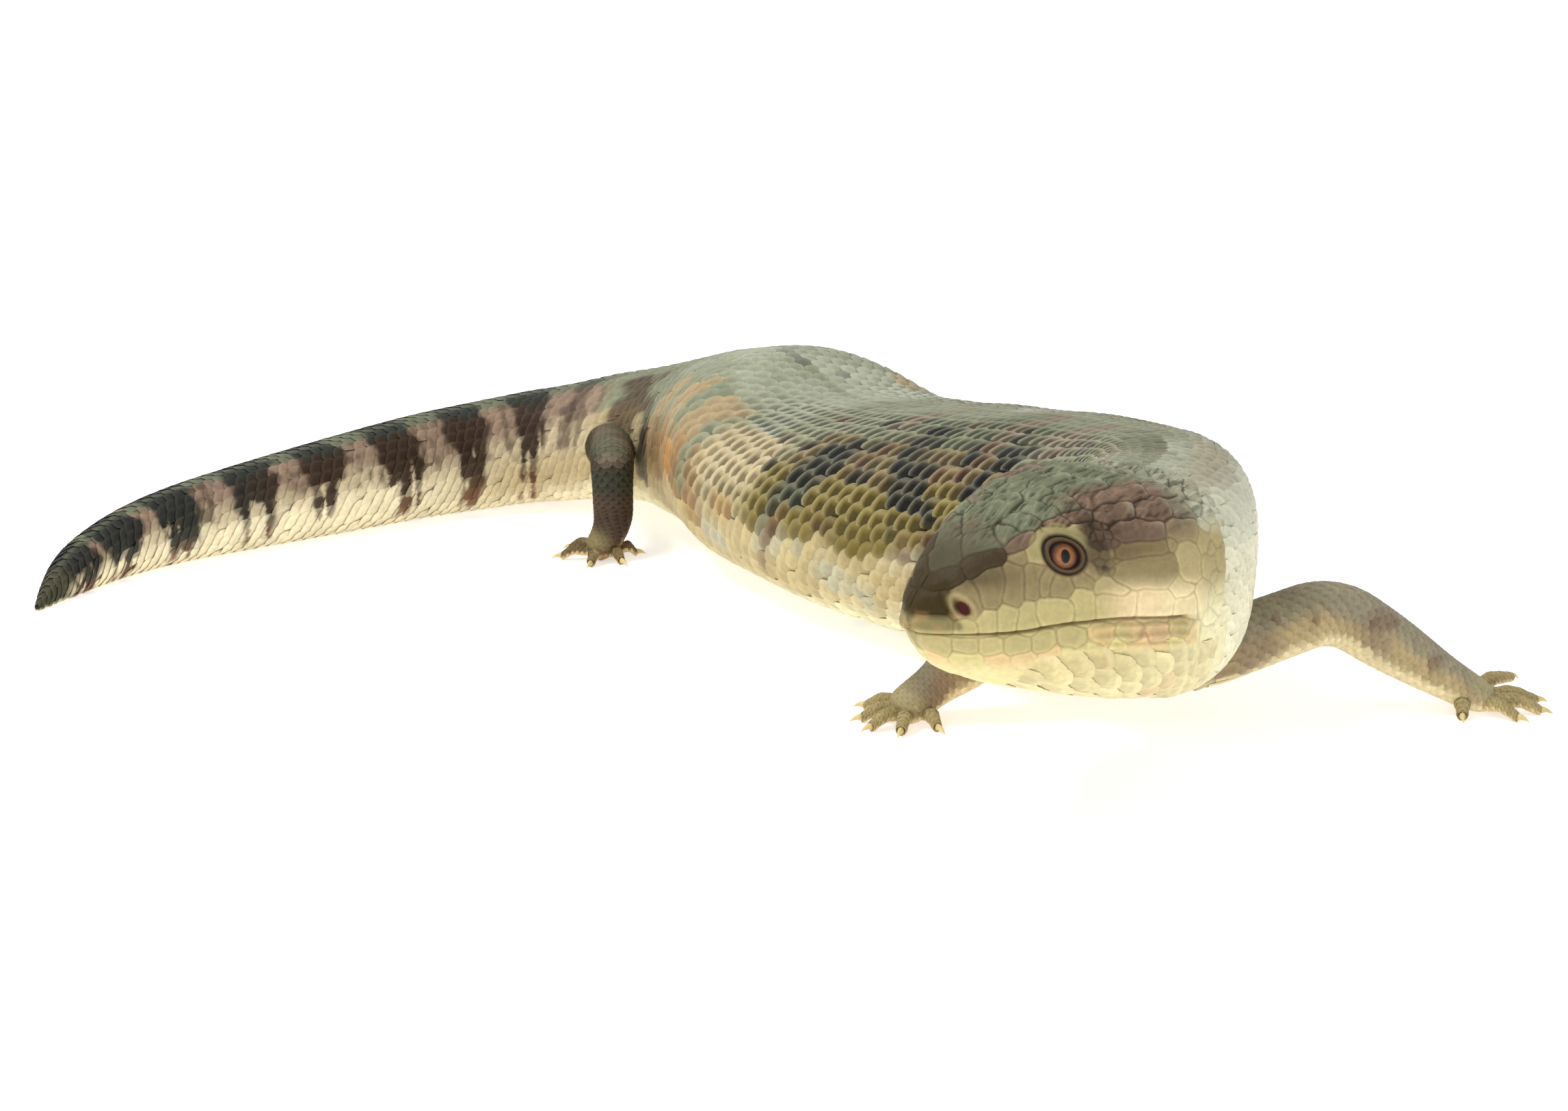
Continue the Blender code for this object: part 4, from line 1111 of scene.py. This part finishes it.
def head_relief(p, q, gap, behind):
    """Height over the smooth head, and how strongly each place is groove, lid or pit. gap is half the way
    from a shield's edge to the next one's, and behind is how far each place lies behind the middle of its
    shield, as a share of half its length."""
    x, side, z = p[:, 0], np.abs(p[:, 1]), p[:, 2]
    crown = step(z, 14.0, 18.5)
    off = z - mouth_height(x)[:, 0]
    under = step(off, -5.0, -6.4) * step(q, 53.5, 51.5) * step(q, 15, 18)   # under the throat's plates
    groove = step(gap, 0.27 + 0.17 * crown, 0.0)
    height = 0.10 + (0.18 + 0.14 * crown) * step(gap, 0.0, 1.3) - groove * (0.15 + 0.14 * crown)
    height += np.clip(behind, -1, 1) * (0.04 + 0.17 * crown)
    # ridges that run back along the crown, crumpled across
    folded = np.stack([x * 0.34 + 0.35 * side, p[:, 1] * 1.3 - 0.22 * x, z * 0.6], -1)
    folded = folded + 0.35 * noise(p, 2.0, 35)[:, None]
    rough = crown * (0.5 + 0.5 * step(side, 12, 7)) * step(q, 52, 48.5)
    ridges = (1 - np.abs(noise(folded, 1.25, 31))) ** 2
    finer = (1 - np.abs(noise(folded, 0.62, 34))) ** 2
    wrinkles = 0.6 * (ridges - 0.42) + 0.3 * (finer - 0.42) + 0.1 * noise(p, 3.6, 32)
    height += rough * 0.62 * wrinkles
    height += (1 - crown) * (0.05 * noise(p, 1.3, 33) + 0.04 * (finer - 0.5))
    lores = window(x, 10, 19, 2) * window(z, 5, 12, 2)
    height += 0.10 * lores * noise(p * (1.6, 0.3, 0.35), 0.9, 36)
    # mouth
    mouth = step(x, 46.5, 43.5)
    slit = hill(off, 0, 0.26) * mouth
    height -= 0.9 * slit
    height += 0.22 * hill(off, 1.1, 0.8) * mouth
    height -= 0.7 * step(off, 0.1, -0.5) * step(off, -9.0, -2.0) * step(x, 12, 2)
    # soft folds of the lower lip near the corner of the mouth
    folds = window(x, 29, 43, 4) * window(off, -4.2, -0.6, 1.0)
    height += 0.28 * folds * np.sin(off * 3.2 + 0.5 * np.sin(x * 0.6))
    height = height * (1 - under) - 0.35 * under
    # eye: a pit for the ball, lids, a crease round them and a brow over them
    near, over = eye_distance(p)
    pit = step(near, 1.03, 0.92)
    upper = step(over, -0.5, 1.5)
    lid, crease = hill(near, 1.17, 0.13), hill(near, 1.42, 0.08)
    around = step(near, 2.0, 1.5)
    height = height * (1 - around) + around * 0.1
    height += lid * (0.26 + 0.26 * upper) - crease * 0.30 + hill(near, 1.62, 0.13) * (0.12 + 0.34 * upper)
    height -= 1.5 * pit
    # nostril
    hole = np.sqrt(((x - 5.4 + 0.25 * (z - 5.7)) / 0.95) ** 2 + ((z - 5.7) / 1.4) ** 2)
    beside = side > 3
    inside = step(hole, 1.1, 0.7) * beside
    rim = hill(hole, 1.55, 0.35) * beside
    height += 0.26 * rim - 0.6 * inside - 0.14 * hill(hole, 2.35, 0.2) * beside
    # the rear rim of the cheek
    past = q - (53.2 + 0.9 * np.cos((z - 8) / 9))
    height += window(z, -4, 17, 4) * (0.35 * hill(past, -0.7, 0.8) - 0.55 * hill(past, 0.7, 0.5))
    # edge marks the shield edges beside the sutures and rear the crown shields' raised rear edges, both given
    # a painted highlight in head_colours; ridges gives the crown's painted highlight and shade
    return dict(height=height, groove=groove, pit=pit, lid=lid, crease=crease, nostril=inside, rim=rim,
                slit=slit, crown=crown, ridges=0.6 * ridges + 0.4 * finer, edge=window(gap, 0.30, 0.5, 0.16),
                rear=crown * step(behind, 0.45, 0.9), near_eye=near, over_eye=over)


def head_colours(p, q, owner, colours, relief):
    """Colour of the head from its shields' own colours and where it is, with painted highlight and shade
    from its relief.
    """
    lot = hashed(owner, 5)
    wave, fine = noise(p, 7, 41), noise(p, 2.2, 42)
    crown, ridges = relief["crown"], relief["ridges"]
    x, side, z = p[:, 0], np.abs(p[:, 1]), p[:, 2]
    off = z - mouth_height(x)[:, 0]
    colour = painted(
        colours[owner] * (0.94 + 0.12 * lot)[:, None],
        (HEAD_MAUVE, 0.5 * crown * step(wave + 0.4 * fine, 0.2, 0.6)),
        (HEAD_MAUVE, 0.8 * crown * step(x + 2 * wave, 22, 30) * step(side + 2 * wave, 7, 11)
         * step(x, 52, 44)),
        (rgb(142, 142, 118), 0.7 * crown * step(x, 42, 49)),
        (SNOUT_BROWN, 0.85 * step(x + 0.8 * fine, 19, 6) * step(z, 7.0, 11.0)),
        (SNOUT_OLIVE, 0.95 * step(x + 0.5 * fine, 5.4, 4.3) * window(z, 2.5, 10.5, 1.0)),
    )
    # painted highlight on the crown's ridge crests and painted shade in the hollows between them
    lit = np.minimum(colour * 1.45 + 0.02, 1)
    colour = blend(colour, lit, 0.8 * crown * step(ridges, 0.6, 0.85) * step(x, 3, 10))
    colour = blend(colour, colour * 0.4, 0.85 * crown * step(ridges, 0.40, 0.22))
    # lips, cheeks and chin grow paler and yellower, and the crown shields' raised rear edges get a greyer
    # painted highlight
    cheek = step(off, -0.6, 0.6) * step(off, 8.6, 3.0) * step(x + 2 * wave, 26, 36)
    colour = painted(
        colour,
        (rgb(196, 182, 124), 0.4 * window(off, 0.0, 2.4, 1.5) * step(x, 50, 44)),
        (rgb(248, 228, 180), 0.85 * cheek),
        (rgb(234, 190, 146), 0.22 * window(off, 0.6, 5.0, 1.2) * step(x, 26, 32) * step(wave, -0.2, 0.4)),
        (rgb(236, 222, 166), 0.6 * step(off, -3.5, -8)),
        (rgb(226, 180, 140), 0.35 * window(x, 30, 43, 4) * window(off, -4, -0.8, 1) * step(fine, -0.4, 0.4)),
        (rgb(196, 150, 104), 0.25 * step(x, 9, 4) * window(z, 2.0, 4.5, 1.0) * step(fine, -0.2, 0.5)),
        (blend(KHAKI_PALE, rgb(244, 236, 190), step(z, 8, -2)), step(x, 44, 52) * step(z, 17, 12)),
        # painted highlight on the crown shields' raised rear edges
        (rgb(166, 168, 142), 0.4 * relief["rear"] * step(x, 4, 12)),
    )
    # sutures: a painted highlight on the shield edges beside them, and in the grooves a darker copy of the
    # colour as painted shade, mixed with dark brown on the crown and darkest there
    edge_highlight = np.minimum(colour * 1.18, 1)
    colour = blend(colour, edge_highlight, 0.7 * relief["edge"] * step(off, -6.0, -4.0) * step(q, 51, 49))
    groove_shade_colour = blend(colour * 0.45, rgb(52, 40, 32), 0.7 * crown)
    amount = relief["groove"] ** 1.5 * (0.42 + 0.46 * crown + 0.2 * fine) * step(off, -7.0, -3.5)
    colour = blend(colour, groove_shade_colour, np.clip(amount, 0, 1))
    # dark behind the eye, fading back over the temple; lids, nostril and mouth
    temple = step(x + 1.5 * wave, 42, 28) * window(z + 0.8 * wave, 12.5, 18.5, 2.2) * step(x, 24, 27)
    spot = window(x + 1.2 * fine, 26.4, 28.6, 2.2) * window(z + 0.8 * fine, 11.0, 18.0, 2.2)
    near, over = relief["near_eye"], relief["over_eye"]
    colour = painted(
        colour,
        (rgb(60, 46, 34), 0.9 * np.maximum(0.55 * temple, spot) * (0.7 + 0.3 * lot)),
        (BROW, 0.85 * window(near, 1.55, 2.2, 0.15) * step(over, -0.5, 1.0) * step(x, 27, 25)),
        (rgb(112, 92, 66), 0.6 * step(near, 1.8, 1.5) * step(over, 1.5, -0.5)),
        (LID, step(near, 1.52, 1.38)),
        (rgb(116, 94, 70), 0.6 * relief["lid"]),
        # painted shade in the eye's pit round the ball and in the crease round the lids
        (rgb(34, 24, 20), np.maximum(relief["pit"], 0.85 * relief["crease"])),
        (rgb(190, 170, 118), 0.5 * relief["rim"]),
        (rgb(74, 26, 20), relief["nostril"]),
    )
    return blend(np.clip(colour, 0, 1), rgb(84, 60, 44), 0.75 * relief["slit"])


HEAD_ROWS, HEAD_ROUND, HEAD_BACK = 236, 640, 56.4
SHELL_PLACES = SNOUT_TIP + (HEAD_BACK - SNOUT_TIP) * np.linspace(0, 1, HEAD_ROWS) ** 1.12


def head_shell():
    """Points and colours of the shields' relief, in rows back from the snout and columns round the head."""
    around = np.arange(HEAD_ROUND) / HEAD_ROUND
    scallop = 0.75 * np.abs(np.cos(math.pi * 34 * around)) * step(SHELL_PLACES, 53, 56)[:, None]
    q = np.clip(SHELL_PLACES[:, None] + scallop - 0.6, SNOUT_TIP, None)
    q[0] = SNOUT_TIP
    q = np.maximum.accumulate(q, axis=0)
    u = np.broadcast_to(around, q.shape)
    places, every = in_head(body.at(q, u).reshape(-1, 3)), np.arange(q.size)
    starts, ends, radii, colours = all_shields()
    starts, ends = snap(starts, places[::7]), snap(ends, places[::7])
    bend = np.stack([noise(places, 2.2, 51 + k) for k in range(3)], -1)
    bend *= (0.18 + 0.45 * step(places[:, 2], 14.5, 18.5))[:, None]
    distance = near_line(places + bend, starts, ends) - radii[None].astype(np.float32)
    owner = np.argmin(distance, axis=1)
    first = distance[every, owner]
    distance[every, owner] = 1e9
    second = distance.min(axis=1)
    middle, half_length = (starts + ends)[:, 0] / 2, (ends - starts)[:, 0] / 2 + radii + 1.6
    behind = (places[:, 0] - middle[owner]) / half_length[owner]
    relief = head_relief(places, q.ravel(), (second - first) / 2, behind)
    height = relief["height"] - 0.9 * step(q.ravel(), HEAD_BACK - 1.2, HEAD_BACK)
    points = body.at(q, u, height.reshape(q.shape))
    points[0] = points[0].mean(axis=0)   # the first row closes the snout's tip
    return points, head_colours(places, q.ravel(), owner, colours, relief).reshape(points.shape)


shell, shell_colours = head_shell()


def grid_faces(n_rows, n_columns, closed):
    """Quads of a grid of points; a closed one joins its last column to its first."""
    i = np.arange(n_rows - 1)[:, None]
    j = np.arange(n_columns if closed else n_columns - 1)[None]
    k = (j + 1) % n_columns
    a, b = i * n_columns + j, i * n_columns + k
    c, d = (i + 1) * n_columns + k, (i + 1) * n_columns + j
    return np.stack([a, b, c, d], -1).reshape(-1, 4)


def strip(name, low, high, slot):
    """A part of the head's shell between two columns, which may run past the last one."""
    columns = np.arange(low, high + 1) % HEAD_ROUND
    u = np.arange(low, high + 1) / HEAD_ROUND
    back = 0.02 + 0.96 * (SHELL_PLACES[:, None] - SNOUT_TIP) / (HEAD_BACK + 1)
    uv = np.stack(np.broadcast_arrays(back, 0.02 + 0.96 * (u - u[0]) / (u[-1] - u[0])), -1)
    faces = grid_faces(HEAD_ROWS, len(columns), False)[:, ::-1]
    return keep(new_mesh(name, shell[:, columns], faces, shell_colours[:, columns], uv), shield_finish, slot)


strip("head_shields_right", 0, 200, "head_skin")
strip("head_shields_left", 440, 640, "head_skin")
strip("throat_scales", 200, 440, "throat_skin")


# ---------------------------------------------------------------- scales of the limbs and digits
SCUTES, SCUTE_STEP = 6, 0.62   # scutes round a digit, and the way from row to row


def limb_lattice(tube, marks):
    """Roots of a limb's scales outside the trunk: place, share round the limb, width and visible length."""
    joints = (0, marks[1], marks[2], tube.places[-1])

    def row(q, turn):
        spacing = np.interp(q, joints, (2.9, 2.4, 1.7, 1.25))
        count = max(6, int(round(tube.girth_at(q) / np.interp(q, joints, (3.3, 2.9, 2.2, 1.7)))))
        width, length = np.full(count, tube.girth_at(q) / count), np.full(count, spacing)
        return np.column_stack([np.full(count, q), staggered(count, turn), width, length]), spacing / 2

    roots = rows_of_roots(2.0, tube.places[-1] - 1.2, row)
    places = tube.at(roots[:, 0] + 1, roots[:, 1])[:, :2]
    spine = body.points[:, :-1].mean(axis=1)[:, :2]
    near = np.argmin(np.linalg.norm(places[:, None] - spine[None, ::5], axis=2), axis=1) * 5
    inner = np.linalg.norm(places - spine[near], axis=1)
    half = np.linalg.norm(body.points[near, ROUND // 4, :2] - spine[near], axis=1)
    return roots[inner > half * 0.72]


def toe_row(q, turn):
    """One row of a digit's scutes: place and share round it."""
    return np.column_stack([np.full(SCUTES, q), staggered(SCUTES, turn)]), SCUTE_STEP


def limb_piece(piece_name, name, markings, surface, q, u, length, width, rise, root, dome, light_and_shade):
    """The scales of one limb or digit as a piece."""
    def colours(q, u, lot):
        return faced(markings, name, surface, q, u)[1]

    def place_on_map(q, u):
        return np.stack([0.02 + 0.882 * (q - q.min()) / surface.places[-1], 0.02 + 0.94 * (u % 1.0)], -1)

    piece = scale_piece(piece_name, surface, q, u, length, width, np.full(len(q), rise), root, dome,
                        scale_colours(colours, even_light_and_shade(light_and_shade)), place_on_map, SMALL)
    keep(piece, foot_finish, "arm_skin" if "arm" in name else "leg_skin")


for name, limb in limbs.items():
    q, u, size, spacing = limb_lattice(limb["tube"], limb["marks"]).T
    limb_piece(name + "_scales", name, limb_markings, limb["tube"], q, u, spacing * 1.85, size * 1.12,
               0.16, 0.32, 0.14, 0.14)
    for number, (toe, _, _) in enumerate(limb["toes"], 1):
        q, u = rows_of_roots(0.4, toe.places[-1] - 0.5, toe_row).T
        limb_piece("%s_toe_%d_scales" % (name, number), name, toe_markings, toe, q, u, np.full(len(q), 1.7),
                   toe.girth_at(q) / SCUTES * 1.12, 0.1, 0.2, 0.08, 0.2)


# ---------------------------------------------------------------- the skin under everything
def closed_tube(points):
    """Rows of points as a closed tube: points and faces, with a point at the middle of each end."""
    n_rows, n = points.shape[:2]
    flat_points = np.concatenate([points.reshape(-1, 3), points[:1].mean(axis=1), points[-1:].mean(axis=1)])
    quads = grid_faces(n_rows, n, True).tolist()
    first, last = n_rows * n, n_rows * n + 1
    caps = [(first, (j + 1) % n, j) for j in range(n)]
    caps += [(last, (n_rows - 1) * n + j, (n_rows - 1) * n + (j + 1) % n) for j in range(n)]
    return flat_points, quads + caps


def skin_parts():
    """Closed tubes inside the coat: the body, the limbs and the digits."""
    head, trunk = np.arange(0.6, 50, 1.2), np.arange(50, TAIL_TIP - 1.5, 2.0)
    q = np.concatenate([[-0.2], head, trunk, [TAIL_TIP - 1.2]])[:, None]
    u = np.arange(110)[None] / 110
    depth = np.where(q < 56, -1.25, -0.5) * step(q, TAIL_TIP + 3, TAIL_TIP - 14)
    yield closed_tube(body.at(q, u, depth))
    for limb in limbs.values():
        q = np.arange(0, limb["tube"].places[-1], 1.0)[:, None]
        yield closed_tube(limb["tube"].at(q, np.arange(40)[None] / 40, -0.35))
        for toe, _, _ in limb["toes"]:
            q = np.linspace(0, toe.places[-1], 12)[:, None]
            yield closed_tube(toe.at(q, np.arange(16)[None] / 16, -0.2))


def build_skin():
    """The tubes joined to one closed surface."""
    points, faces, start = [], [], 0
    for part_points, part_faces in skin_parts():
        points.append(part_points)
        faces += [tuple(i + start for i in face) for face in part_faces]
        start += len(part_points)
    mesh = bpy.data.meshes.new("skin")
    mesh.from_pydata(np.vstack(points) * MM, [], faces)
    obj = linked("skin", mesh)
    remesh = obj.modifiers.new("remesh", "REMESH")
    remesh.mode = "VOXEL"
    remesh.voxel_size = 0.00095
    soften = obj.modifiers.new("soften", "SMOOTH")
    soften.factor, soften.iterations = 0.5, 3
    evaluated = obj.evaluated_get(bpy.context.evaluated_depsgraph_get())
    result = bpy.data.meshes.new_from_object(evaluated)
    obj.modifiers.clear()
    obj.data = result
    result.name = "skin"
    bpy.data.meshes.remove(mesh)
    return obj


def sink_sockets(co):
    """The skin's points, drawn inward behind the eyes and kept above the floor."""
    p = in_head(co)
    near, _ = eye_distance(p)
    sunk = step(near, 1.35, 0.9) * step(np.abs(p[:, 1]), 8, 12) * (np.abs(p[:, 0] - 22) < 6) * (p[:, 2] > 8)
    p[:, 1] -= np.sign(p[:, 1]) * 3.0 * sunk
    co = np.where(sunk[:, None] > 0, on_head(p), co)
    co[:, 2] = np.maximum(co[:, 2], 0)
    return co


def nearby_colours(places):
    """Markings for any place near the animal, from the nearest points of its surfaces."""
    q, u = np.broadcast_arrays(np.arange(56, TAIL_TIP, 1.5)[:, None], np.arange(96)[None] / 96)
    found = [(body.at(q, u), body_markings(q, u))]
    for name, limb in limbs.items():
        q = np.arange(0, limb["tube"].places[-1], 1.2)[:, None]
        found.append(faced(limb_markings, name, limb["tube"], q, np.arange(24)[None] / 24))
        for toe, _, _ in limb["toes"]:
            q = np.linspace(0, toe.places[-1], 12)[:, None]
            found.append(faced(toe_markings, name, toe, q, np.arange(10)[None] / 10))
    found.append((shell.reshape(-1, 3)[::9], shell_colours.reshape(-1, 3)[::9]))
    cloud, tints = (np.concatenate([v.reshape(-1, 3) for v in column]) for column in zip(*found))
    tree = kdtree.KDTree(len(cloud))
    for i, place in enumerate(cloud):
        tree.insert(place, i)
    tree.balance()
    return tints[[tree.find(place)[1] for place in places]]


SKIN_PAINTED_SHADE = 0.72   # the skin, seen between the scales, is a darker copy of their colours: painted shade
skin = build_skin()
co = np.empty(len(skin.data.vertices) * 3, np.float32)
skin.data.vertices.foreach_get("co", co)
co = sink_sockets(co.reshape(-1, 3) / MM)
skin.data.vertices.foreach_set("co", (co * MM).astype(np.float32).ravel())
# painted shade: the skin takes the nearby colours, darkened
set_tint(skin.data, nearby_colours(co) * SKIN_PAINTED_SHADE)
skin.data.polygons.foreach_set("use_smooth", np.ones(len(skin.data.polygons), bool))
keep(skin, skin_finish, "back_skin")
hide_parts(*SPINE_NODES, *[part for limb in LIMBS.values() for part in limb["parts"]])

# ---------------------------------------------------------------- eyes
# a dark ball and an amber ring with fine spokes round a black pupil, under a wet clear coat
eye_finish, eye_tree, _, _ = tinted_material("eye_finish", 2600, 2, 0.75, 1.25)
wet = eye_tree.nodes["Principled BSDF"].inputs
wet["Roughness"].default_value = 0.35
wet["Specular IOR Level"].default_value = 0.2
wet["Coat Weight"].default_value = 0.2
wet["Coat Roughness"].default_value = 0.08
PUPIL, IRIS_RADIUS = (0.76, 1.16), 2.05


def build_eye(name, sign):
    """An eyeball whose pole is the pupil: rings of latitude give the pupil, iris and ball."""
    axis = np.array([-0.42, sign * 0.86, 0.28])
    axis /= np.linalg.norm(axis)
    up = np.array([0, 0, 1.0]) - axis[2] * axis
    up /= np.linalg.norm(up)
    side = np.cross(up, axis)
    polar = np.radians(np.concatenate([np.arange(0, 40, 1.2), np.arange(40, 181, 6.0)]))
    turn = np.arange(96) / 96 * 2 * math.pi
    a, b = np.meshgrid(polar, turn, indexing="ij")
    across, over = np.sin(a) * np.cos(b), np.sin(a) * np.sin(b)
    bulge = 1 + 0.035 * step(np.degrees(a), 38, 10)
    local = np.cos(a)[..., None] * axis + across[..., None] * side + over[..., None] * up
    centre = np.array(EYE_CENTRE) * (1, sign, 1)
    points = on_head(centre + local * (EYE_RADIUS * bulge)[..., None])
    x, y = across * EYE_RADIUS, over * EYE_RADIUS
    pupil = np.sqrt(oval(x, y, (0, 0), PUPIL))
    iris = np.sqrt(x ** 2 + y ** 2) / IRIS_RADIUS
    spokes = noise(np.stack([np.cos(b) * 9, np.sin(b) * 9, iris * 2.0], -1), 1.0, 61)
    ring = blend(rgb(108, 64, 30), rgb(140, 88, 44), step(iris, 0.85, 0.6))
    ring = blend(ring * (1 + 0.16 * spokes[..., None]), rgb(88, 50, 26), step(iris, 0.74, 1.0))
    colour = painted(
        rgb(52, 36, 26),
        (ring, step(iris, 1.06, 0.98)),
        (rgb(40, 30, 26), step(iris, 1.2, 1.45)),
        (rgb(8, 8, 12), step(pupil, 1.08, 0.96)),
    )
    uv = np.stack([0.5 + 0.45 * np.sin(b) * a / math.pi, 0.5 + 0.45 * np.cos(b) * a / math.pi], -1)
    faces = grid_faces(len(polar), len(turn), True)[:, ::-1]
    eye = new_mesh(name + "_ball", points, faces, np.clip(colour, 0, 1), uv)
    eye.data.materials.append(eye_finish)
    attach(eye, "root")
    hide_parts(name)


build_eye("left_eye", -1)
build_eye("right_eye", 1)

# ---------------------------------------------------------------- claws
claw_finish = coat_material("claw_finish", 0.35, 0.12, 3000, 0.2, gloss=0.3)
CLAW_PROFILE = smooth_profile(((0, 0.86), (0.12, 0.78), (0.5, 0.5), (0.85, 0.24), (1, 0.05)))


def build_claw(name, tip, ahead):
    """A curved claw that thins to a point, deeper than wide, with a cuff at its root."""
    t = np.linspace(0, 1, 14)
    turn = np.arange(16) / 16
    lifted = tip[2] > 2
    drop = -1.1 if lifted else 0.26 - tip[2]   # a digit that rests has its claw's point on the floor
    centre = tip + np.outer(t * CLAW_LENGTH * 1.12 - 0.25, ahead)
    centre[:, 2] = tip[2] + 0.28 * np.sin(t * math.pi * 0.9) + drop * t ** 2.2
    radius = CLAW_PROFILE(t)[:, 0][:, None, None]
    sideways = np.cos(turn * 2 * math.pi)[None, :, None] * np.cross((0, 0, 1), ahead) * 0.82
    upward = np.sin(turn * 2 * math.pi)[None, :, None] * np.array([0, 0, 1.0])
    ring = centre[:, None] + radius * (sideways + upward)
    ring[..., 2] = np.maximum(ring[..., 2], 0)
    share = np.broadcast_to(t[:, None], ring.shape[:2])
    colour = painted(
        rgb(214, 194, 132),
        (rgb(150, 122, 76), step(share, 0.25, 0.0)),
        (rgb(232, 220, 176), step(share, 0.6, 1.0) * 0.8),
    )
    colour = colour * (1 + 0.1 * noise(ring, 0.6, 71)[..., None])
    uv = np.stack(np.broadcast_arrays(0.05 + 0.9 * t[:, None], 0.05 + 0.9 * turn[None]), -1)
    points, faces = closed_tube(ring)
    colour, uv = (np.concatenate([v.reshape(-1, v.shape[-1]), v[:1].mean(axis=1), v[-1:].mean(axis=1)])
                  for v in (colour, uv))
    claw = new_mesh(name + "_horn", points, faces, np.clip(colour, 0, 1), uv)
    claw.data.materials.append(claw_finish)
    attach(claw, "root")
    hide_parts(name)


for limb in limbs.values():
    for number, (_, tip, ahead) in enumerate(limb["toes"], 1):
        build_claw("%s_claw_%d" % (limb["parts"][2], number), tip, ahead)

# ---------------------------------------------------------------- floor and light
floor_mesh = bpy.data.meshes.new("floor")
floor_mesh.from_pydata([(-30, -30, 0), (30, -30, 0), (30, 30, 0), (-30, 30, 0)], [], [(0, 1, 2, 3)])
floor = linked("floor", floor_mesh)
floor_finish = bpy.data.materials.new("floor_finish")
floor_finish.use_nodes = True
table = floor_finish.node_tree.nodes["Principled BSDF"]
table.inputs["Base Color"].default_value = (0.8, 0.8, 0.8, 1)
table.inputs["Roughness"].default_value = 0.8
table.inputs["Emission Color"].default_value = (1, 1, 1, 1)
table.inputs["Emission Strength"].default_value = 0.48   # a light table, as the photo's floor
floor_mesh.materials.append(floor_finish)
floor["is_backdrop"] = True

world = bpy.data.worlds.new("studio")
world.use_nodes = True
sky = world.node_tree.nodes
way_up = sky.new("ShaderNodeTexCoord")
height = sky.new("ShaderNodeSeparateXYZ")
links = world.node_tree.links
links.new(way_up.outputs["Generated"], height.inputs["Vector"])
brightness = map_range(world.node_tree, height.outputs["Z"], 1.03, 0.66, 0.08, 0.45)
links.new(brightness, sky["Background"].inputs["Strength"])
sky["Background"].inputs["Color"].default_value = (1, 1, 1, 1)
bpy.context.scene.world = world


AIM = (0, -0.05, 0.03)


def soft_light(name, place, size, power):
    """A square lamp that shines on the animal."""
    data = bpy.data.lights.new(name, "AREA")
    data.size = size
    data.energy = power
    lamp = linked(name, data)
    lamp.location = place
    way = np.array(AIM, float) - np.array(place, float)
    tilt, turn = math.acos(-way[2] / np.linalg.norm(way)), math.atan2(way[1], way[0])
    lamp.rotation_euler = (tilt, 0, turn - math.pi / 2)


soft_light("key", (-0.6, -0.1, 1.0), 0.4, 9)
soft_light("fill", (0.9, 0.3, 0.9), 0.8, 1)
soft_light("front", (-0.1, -1.25, 0.28), 0.9, 3)

[[list(map(float, corner)) for corner in box] for box in (CAD_BOX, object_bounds())]
